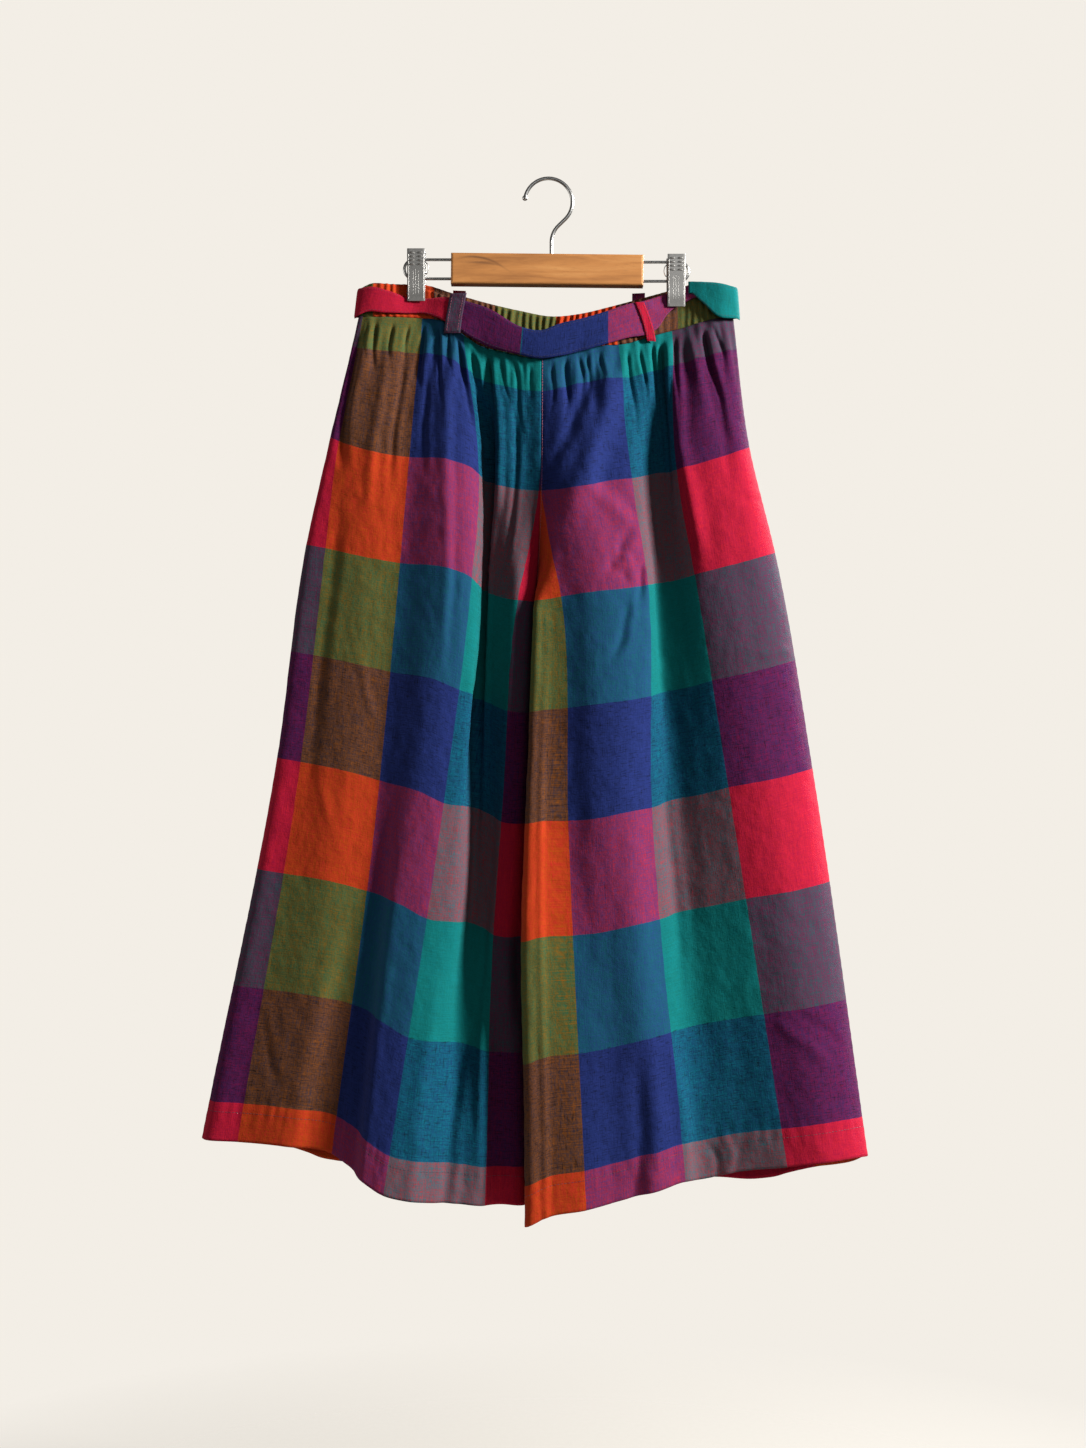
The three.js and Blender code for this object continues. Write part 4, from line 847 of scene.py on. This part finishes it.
def belt_loop(name, face, across, height, width, bend, cloth):
    out = -1 if face == "front" else 1
    down = np.concatenate([np.linspace(0, 0.12, 6), np.linspace(0.2, 1.8, 26), np.linspace(1.88, 2, 6)])
    side = np.linspace(-0.5, 0.5, 13)
    place = np.zeros((len(down), len(side), 3))
    for r, t in enumerate(down):
        x, z = (along([0, 1, 2], values, t)[0, 0] for values in (across, height))
        inward = bend * (1 - smoothstep(0, 0.12, t)) + smoothstep(1.88, 2, t)
        for c, s in enumerate(side):
            at = x + s * width
            rise = LOOP_CLEAR + 0.15 * math.cos(5 * s + 3 * t) - 1.2 * inward
            place[r, c] = (at, belt_face(face, at, z) + out * rise, z)
    n = outward(place, out)
    roll = np.clip((0.5 - np.abs(side)) * 14, 0, 1)[None, :, None] ** 0.5
    half = 0.5 * LOOP_WALL * (0.4 + 0.6 * roll)
    warp = cloth[0] + (side[None, :] + 0.5) * width / WARP_BAND + 0 * down[:, None]
    weft = cloth[1] + (down[:, None] * LOOP_STEP) / WEFT_BAND + 0 * side[None, :]
    obj = shell("linen_" + name, place + n * half, place - n * half, warp, weft, check_linen)
    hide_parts(name)
    return obj, place + n * half, n


loops = {row[0]: belt_loop(*row) for row in LOOPS}


# ---------------------------------------------------------------- stitching
# Polyester sewing thread in short sunk stitches: one row round each hem, one down the centre front seam,
# and rows along the edges of the loops and the belt.
HEM_STITCH_ROW = 8.085


def thread_finish(name, color):
    f = Finish(name)
    place = f.node("TexCoord", None, None, 3)
    twist = f.noise_on(place, 900.0, 2.0)
    dark = tuple(c * 0.6 for c in color)
    f.set(Base_Color=f.blend(twist, dark, color), Roughness=0.5 + twist * 0.2,
          Normal=f.node("Bump", None, {"Strength": 0.4, "Distance": 0.0002, "Height": twist}))
    f.set(Sheen_Weight=0.1)
    return f.material


def mode(word):
    bpy.ops.object.mode_set(mode=word)


def choose_none():
    bpy.ops.object.select_all(action="DESELECT")


def one_stitch():
    """A short rounded thread, modelled once and copied along each seam."""
    choose_none()
    bpy.ops.mesh.primitive_cylinder_add(vertices=6, radius=1.0, depth=1.0, end_fill_type="TRIFAN")
    obj = bpy.context.object
    mode("EDIT")
    bpy.ops.mesh.select_all(action="SELECT")
    bpy.ops.transform.resize(value=(0.5, 0.5, 1.0))
    mode("OBJECT")
    mesh = obj.data
    points = np.array([v.co for v in mesh.vertices])
    tips = np.hypot(points[:, 0], points[:, 1]) < 1e-4
    points[tips, 2] *= 1.25
    faces = [tuple(p.vertices) for p in mesh.polygons]
    bpy.data.objects.remove(obj)
    bpy.data.meshes.remove(mesh)
    return points, faces


STITCH_POINTS, STITCH_FACES = one_stitch()


def sew(name, lines, material, pitch, length, width):
    """Lays stitches along lines; each line is a row of points in mm with its outward directions."""
    points, faces = [], []
    for line, ways in lines:
        run = np.concatenate([[0], np.cumsum(np.linalg.norm(np.diff(line, axis=0), axis=1))])
        for at in np.arange(pitch, run[-1] - pitch, pitch):
            ends = [np.array([np.interp(at + k * 0.5 * length, run, line[:, c]) for c in range(3)])
                    for k in (-1, 1)]
            up = np.array([np.interp(at, run, ways[:, c]) for c in range(3)])
            lie = (ends[1] - ends[0]) / np.linalg.norm(ends[1] - ends[0])
            across = np.cross(up, lie)
            across /= np.linalg.norm(across)
            up = np.cross(lie, across)
            middle = 0.5 * (ends[0] + ends[1])
            base = len(points) * len(STITCH_POINTS)
            points.append(middle + STITCH_POINTS[:, :1] * width * across
                          + STITCH_POINTS[:, 1:2] * width * up * 0.8
                          + STITCH_POINTS[:, 2:] * length * 0.8 * lie)
            faces += [tuple(base + k for k in f) for f in STITCH_FACES]
    mesh = bpy.data.meshes.new(name)
    mesh.from_pydata(np.concatenate(points) * 0.001, [], faces)
    mesh.polygons.foreach_set("use_smooth", np.ones(len(faces), dtype=bool))
    mesh.materials.append(material)
    obj = bpy.data.objects.new(name, mesh)
    bpy.context.scene.collection.objects.link(obj)
    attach(obj, "root")


def grid_line(outer, n, row):
    """A line across a grid at an uneven row number, just proud of the cloth."""
    i = min(int(row), len(outer) - 2)
    t = row - i
    return outer[i] * (1 - t) + outer[i + 1] * t + n[i] * 0.06, n[i]


thread_dark = thread_finish("thread_dark", (0.045, 0.035, 0.06))
thread_rose = thread_finish("thread_rose", (0.42, 0.10, 0.16))
for key, (_, outer, n, levels) in dressed.items():
    at = float(np.interp(HEM_STITCH_ROW, levels, np.arange(len(levels))))
    sew("stitch_hem_" + key, [grid_line(outer, n, at)], thread_dark, pitch=3.9, length=3.0, width=0.42)

# A red thread shows along the centre front seam, and the front right loop is sewn in rose.
_, outer, n, levels = dressed["front_left"]
seam = levels < FORK_ROW - 0.1
rows = [(outer[seam, 1] + n[seam, 1] * 0.1, n[seam, 1])]
sew("stitch_centre", rows, thread_rose, pitch=3.3, length=3.0, width=0.5)
for key, (_, outer, n) in loops.items():
    thread = thread_rose if key == "loop_front_right" else thread_dark
    rows = [(outer[:, c] + n[:, c] * 0.06, n[:, c]) for c in (2, 10)]
    sew("stitch_" + key, rows, thread, pitch=3.2, length=2.6, width=0.36)
rows = [(belt_outer[:, c] + belt_ways * 0.04, belt_ways) for c in (1, BELT_ACROSS - 2)]
sew("stitch_belt", rows, thread_dark, pitch=3.6, length=2.6, width=0.3)


# ---------------------------------------------------------------- hanger bar
# A square-edged bar of oiled alder that carries the hook in its middle and both wire rails in its ends.
# The grain runs along it, with a knot's dark flame near the top left corner.
def oiled_wood():
    f = Finish("oiled_wood")
    place = f.node("TexCoord", None, None, 3)
    x, y, z = (f.node("SeparateXYZ", None, [place], k) for k in range(3))
    warm = f.noise(x * 6, y * 40, z * 55, 3.0)
    rings = f.noise(x * 14 + warm * 1.2, y * 130, z * 190 + warm * 5, 4.0)
    pores = f.noise(x * 90, y * 900, z * 1400, 2.0)
    stops = [(0.25, (0.28, 0.105, 0.028)), (0.5, (0.50, 0.205, 0.055)), (0.75, (0.64, 0.30, 0.095))]
    color = f.node("ValToRGB", {"stops": stops}, [rings * 0.6 + warm * 0.4])
    # The knot's flame: two dark strokes that arch over and close to the right.
    dx = x + 0.074
    strokes = []
    for from_x, from_z, arch, long, thick in ((0.085, 0.0868, 9.0, 0.00045, 0.0000016),
                                              (0.090, 0.0925, 2.5, 0.00028, 0.0000011)):
        along_x = x + from_x
        dz = z + from_z + along_x * along_x * arch + (warm - 0.5) * 0.004
        strokes.append(f.node("Math", {"operation": "EXPONENT"}, [(dx * dx / long + dz * dz / thick) * -1.0]))
    streak = f.node("Clamp", None, [(strokes[0] + strokes[1] * 0.8) * (rings * 0.9 + 0.4)])
    color = f.blend(streak, color, (0.12, 0.05, 0.02))
    color = f.blend(f.node("Clamp", None, [(pores - 0.56) * 2.2]), color, (0.26, 0.11, 0.035))
    f.set(Base_Color=color, Roughness=0.42 + rings * 0.18,
          Normal=f.node("Bump", None, {"Strength": 0.25, "Distance": 0.0003, "Height": pores + rings}))
    f.set(Coat_Roughness=0.35, Specular_IOR_Level=0.45)
    return f.material


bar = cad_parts["hanger_bar"]
bar.data.materials.clear()
bar.data.materials.append(oiled_wood())


# ---------------------------------------------------------------- hook and rails
# Chromed steel wire: a 4 mm hook with a ball tip, screwed into the bar, and two 3 mm rails,
# each bent from one wire that runs out of the bar's end, turns round and runs back in.
HOOK_WIRE = 2.0
HOOK_CENTRE = (-0.6, 0, -24.2)
HOOK_RADIUS = 26.2
HOOK_OPENING = math.radians(170)
BALL_RADIUS = 3.0
RAIL_WIRE = 1.6
BAR_MIDDLE = -2
RAIL_ROOT = 77.5


def bright_steel(name, color, rough):
    f = Finish(name)
    place = f.node("TexCoord", None, None, 3)
    drawn = f.noise_on(place, 380.0, 3.0)
    cloudy = f.noise_on(place, 45.0, 2.0)
    f.set(Base_Color=f.blend(cloudy, tuple(c * 0.86 for c in color), color),
          Roughness=rough + drawn * 0.12 + cloudy * 0.06,
          Normal=f.node("Bump", None, {"Strength": 0.06, "Distance": 0.0002, "Height": drawn}))
    f.shader.inputs["Metallic"].default_value = 1.0
    return f.material


wire_steel = bright_steel("wire_steel", (0.52, 0.515, 0.50), 0.18)
clip_steel = bright_steel("clip_steel", (0.46, 0.45, 0.43), 0.36)


def set_down():
    """Applies the last made object's place, turn and scale, and returns the object."""
    bpy.ops.object.transform_apply(location=True, rotation=True, scale=True)
    return bpy.context.object


def wire_end(name, place, way, radius):
    """A round blank from which a wire is drawn out."""
    choose_none()
    turn = Vector(way).to_track_quat("Z", "Y").to_euler()
    bpy.ops.mesh.primitive_circle_add(vertices=16, radius=radius * 0.001, fill_type="NGON",
                                      location=Vector(place) * 0.001, rotation=turn)
    obj = set_down()
    obj.name = name
    mode("EDIT")
    bpy.ops.mesh.select_mode(type="FACE")
    bpy.ops.mesh.select_all(action="SELECT")
    return obj


def bend(centre, degrees, steps):
    """Turns the wire's end in the hanger's plane, clockwise for the viewer."""
    bpy.ops.mesh.spin(steps=steps, angle=math.radians(degrees), center=Vector(centre) * 0.001, axis=(0, 1, 0))


def draw_out(x, z):
    bpy.ops.mesh.extrude_region_move(TRANSFORM_OT_translate={"value": (x * 0.001, 0, z * 0.001)})


def finish_piece(obj, material, node=None):
    """Closes a modelled piece, hands it its finish and lets it ride on the hanger."""
    if bpy.context.mode != "EDIT_MESH":
        bpy.context.view_layer.objects.active = obj
        mode("EDIT")
    bpy.ops.mesh.select_all(action="SELECT")
    bpy.ops.mesh.remove_doubles(threshold=0.000005)
    bpy.ops.mesh.normals_make_consistent(inside=False)
    mode("OBJECT")
    choose_none()
    obj.select_set(True)
    bpy.context.view_layer.objects.active = obj
    bpy.ops.object.shade_smooth_by_angle(angle=math.radians(40))
    obj.data.materials.clear()
    obj.data.materials.append(material)
    obj.select_set(False)
    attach(obj, "root")
    if node:
        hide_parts(node)


tip_way = (math.cos(HOOK_OPENING), 0, math.sin(HOOK_OPENING))
tip = tuple(c + HOOK_RADIUS * w for c, w in zip(HOOK_CENTRE, tip_way))
hook = wire_end("wire_hook", tip, (tip_way[2], 0, -tip_way[0]), HOOK_WIRE)
bend(HOOK_CENTRE, -216, 60)
draw_out(-0.719 * 10, -0.695 * 10)
bend((28.05, 0, -68.3), 46, 12)
draw_out(0, -27)
mode("OBJECT")
bpy.ops.mesh.primitive_uv_sphere_add(segments=20, ring_count=12, radius=BALL_RADIUS * 0.001,
                                     location=(tip[0] * 0.001, 0, tip[2] * 0.001))
set_down()
hook.select_set(True)
bpy.context.view_layer.objects.active = hook
bpy.ops.object.join()
finish_piece(hook, wire_steel, "hanger_hook")

CLIPS = {
    "right": {"x": CLIP_PLACES[0], "top": -77.5, "rail_top": -87.5, "rail_low": -108.5, "rail_end": -160.6},
    "left": {"x": CLIP_PLACES[1], "top": -83.5, "rail_top": -90.2, "rail_low": -111.2, "rail_end": 155.1}}
for side_name, clip in CLIPS.items():
    side = math.copysign(1, clip["x"])
    start_x = BAR_MIDDLE + side * RAIL_ROOT
    bow = 0.5 * (clip["rail_top"] - clip["rail_low"])
    turn_x = clip["rail_end"] - side * (bow + RAIL_WIRE)
    rail = wire_end("wire_rail_" + side_name, (start_x, 0, clip["rail_top"]), (side, 0, 0), RAIL_WIRE)
    draw_out(turn_x - start_x, 0)
    bend((turn_x, 0, clip["rail_top"] - bow), -180 * side, 20)
    draw_out(start_x - turn_x, 0)
    finish_piece(rail, wire_steel, "rail_" + side_name)


# ---------------------------------------------------------------- clips
# Two sprung steel clips that slide on the rails. Each has two pressed plates with eight grip ridges,
# two side beads, three fine lines drawn down the lower part and a turned lip that bites the waistband.
CLIP_WIDTH = 19.5
CLIP_HEIGHT = 57
CLIP_WALL = 1.2
SPRING_INSET = 9.9
# The plate's side view: distance from the hanger's plane in mm and share of its height.
CLIP_PROFILE = [(11, 0), (9.8, -0.3), (8.6, -0.5), (8.0, -0.72), (8.4, -0.86), (6.8, -0.93), (7.1, -1.0)]
# Place across, upper and lower end and radius in mm, of the beads and the drawn lines.
CLIP_BEADS = ((-8.2, 6, 54, 0.3), (8.2, 6, 54, 0.3), (-0.6, 22, 50, 0.12), (2.4, 24, 50, 0.12), (-3.2, 24, 50, 0.12))


def modify(obj, kind, **values):
    """Adds a modifier to the active object, sets its values and applies it."""
    step = obj.modifiers.new(kind.lower(), kind)
    for key, value in values.items():
        setattr(step, key, value)
    bpy.ops.object.modifier_apply(modifier=step.name)


def clip_ridges(clip, out):
    """Eight short rounded ridges in two columns near the top of a plate."""
    (y0, z0), (y1, z1) = CLIP_PROFILE[:2]
    slope = (y0 - y1) / ((z0 - z1) * CLIP_HEIGHT)
    ridges = []
    for line in range(4):
        for column in (-1, 1):
            drop = 4.5 + 4.2 * line
            place = (clip["x"] + column * 4.4, out * (y0 + CLIP_WALL - slope * drop), clip["top"] - drop)
            bpy.ops.mesh.primitive_cylinder_add(vertices=12, radius=0.0011, depth=0.0048,
                                                location=Vector(place) * 0.001, rotation=(0, math.radians(90), 0))
            ridges.append(set_down())
            modify(ridges[-1], "BEVEL", width=0.0005, segments=2)
    return ridges


def clip_bead(clip, out, dx, top, foot, thick):
    """A thin round line drawn down a plate's face along the profile."""
    levels = {-top / CLIP_HEIGHT, -foot / CLIP_HEIGHT}
    levels |= {z for _, z in CLIP_PROFILE if top < -z * CLIP_HEIGHT < foot}
    far, low = zip(*CLIP_PROFILE[::-1])
    spots = [(clip["x"] + dx, out * (float(np.interp(h, low, far)) + CLIP_WALL), clip["top"] + h * CLIP_HEIGHT)
             for h in sorted(levels, reverse=True)]
    bead = wire_end("bead", spots[0], Vector(spots[1]) - Vector(spots[0]), thick)
    for a, b in zip(spots, spots[1:]):
        bpy.ops.mesh.extrude_region_move(TRANSFORM_OT_translate={"value": (Vector(b) - Vector(a)) * 0.001})
    mode("OBJECT")
    return bead


def clip_plate(name, clip, out):
    """One pressed plate, drawn downward from its top edge along the profile."""
    choose_none()
    bpy.ops.mesh.primitive_grid_add(x_subdivisions=7, y_subdivisions=1, size=1)
    obj = bpy.context.object
    obj.name = name
    mesh = obj.data
    for v in mesh.vertices:
        y, z = CLIP_PROFILE[1 if v.co.y < 0 else 0]
        v.co = ((clip["x"] + v.co.x * CLIP_WIDTH) * 0.001, out * y * 0.001, (clip["top"] + z * CLIP_HEIGHT) * 0.001)
    mode("EDIT")
    bpy.ops.mesh.select_mode(type="EDGE")
    for (ya, za), (yb, zb) in zip(CLIP_PROFILE[1:-1], CLIP_PROFILE[2:]):
        bpy.ops.mesh.select_all(action="DESELECT")
        mode("OBJECT")
        lowest = min(v.co.z for v in mesh.vertices)
        for e in mesh.edges:
            e.select = all(abs(mesh.vertices[k].co.z - lowest) < 1e-6 for k in e.vertices)
        mode("EDIT")
        step = (0, out * (yb - ya) * 0.001, (zb - za) * CLIP_HEIGHT * 0.001)
        bpy.ops.mesh.extrude_region_move(TRANSFORM_OT_translate={"value": step})
    mode("OBJECT")
    facing = sum(p.normal.y for p in mesh.polygons) * out
    modify(obj, "SOLIDIFY", thickness=CLIP_WALL * 0.001, offset=1 if facing > 0 else -1, use_even_offset=True)
    modify(obj, "BEVEL", width=0.00035, segments=2, angle_limit=math.radians(50))
    parts = clip_ridges(clip, out) + [clip_bead(clip, out, *bead) for bead in CLIP_BEADS]
    choose_none()
    for part in (*parts, obj):
        part.select_set(True)
    bpy.context.view_layer.objects.active = obj
    bpy.ops.object.join()
    return obj


for side_name, clip in CLIPS.items():
    for word, out in (("front", -1), ("back", 1)):
        plate = clip_plate("clip_" + side_name + "_" + word, clip, out)
        finish_piece(plate, clip_steel, "clip_" + side_name + "_" + word + "_jaw")
    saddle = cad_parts["clip_" + side_name + "_saddle"]
    saddle.data.materials.clear()
    saddle.data.materials.append(clip_steel)
    # The spring's bow of wire stands out at the clip's inner edge, between the rails.
    inner = clip["x"] - math.copysign(SPRING_INSET, clip["x"])
    middle = 0.5 * (clip["rail_top"] + clip["rail_low"])
    choose_none()
    bpy.ops.mesh.primitive_torus_add(major_radius=0.0062, minor_radius=0.0007, major_segments=36, minor_segments=10,
                                     location=(inner * 0.001, -0.0042, middle * 0.001),
                                     rotation=(math.radians(90), 0, 0))
    bpy.context.object.scale = (0.55, 1.0, 1.0)
    spring = set_down()
    spring.name = "spring_" + side_name
    finish_piece(spring, wire_steel)


# ---------------------------------------------------------------- floor
# A plain pale floor well below the hems, which melts into the room at its rim.
choose_none()
bpy.ops.mesh.primitive_circle_add(vertices=64, radius=1.15, fill_type="NGON", location=(0, 0, -1.60))
floor = set_down()
floor.name = "pale_floor"
pale = Finish("pale_floor")
spot = pale.node("TexCoord", None, None, 3)
level_spot = pale.node("VectorMath", {"operation": "MULTIPLY"}, [spot, (1, 1, 0)])
away = pale.node("VectorMath", {"operation": "LENGTH"}, [level_spot], 1)
grain = pale.noise_on(spot, 120.0, 2.0)
pale.set(Base_Color=pale.blend(grain, (0.47, 0.45, 0.415), (0.50, 0.48, 0.445)), Roughness=0.9,
         Alpha=pale.node("Clamp", None, [(1.12 - away) * 1.3]))
floor.data.materials.append(pale.material)
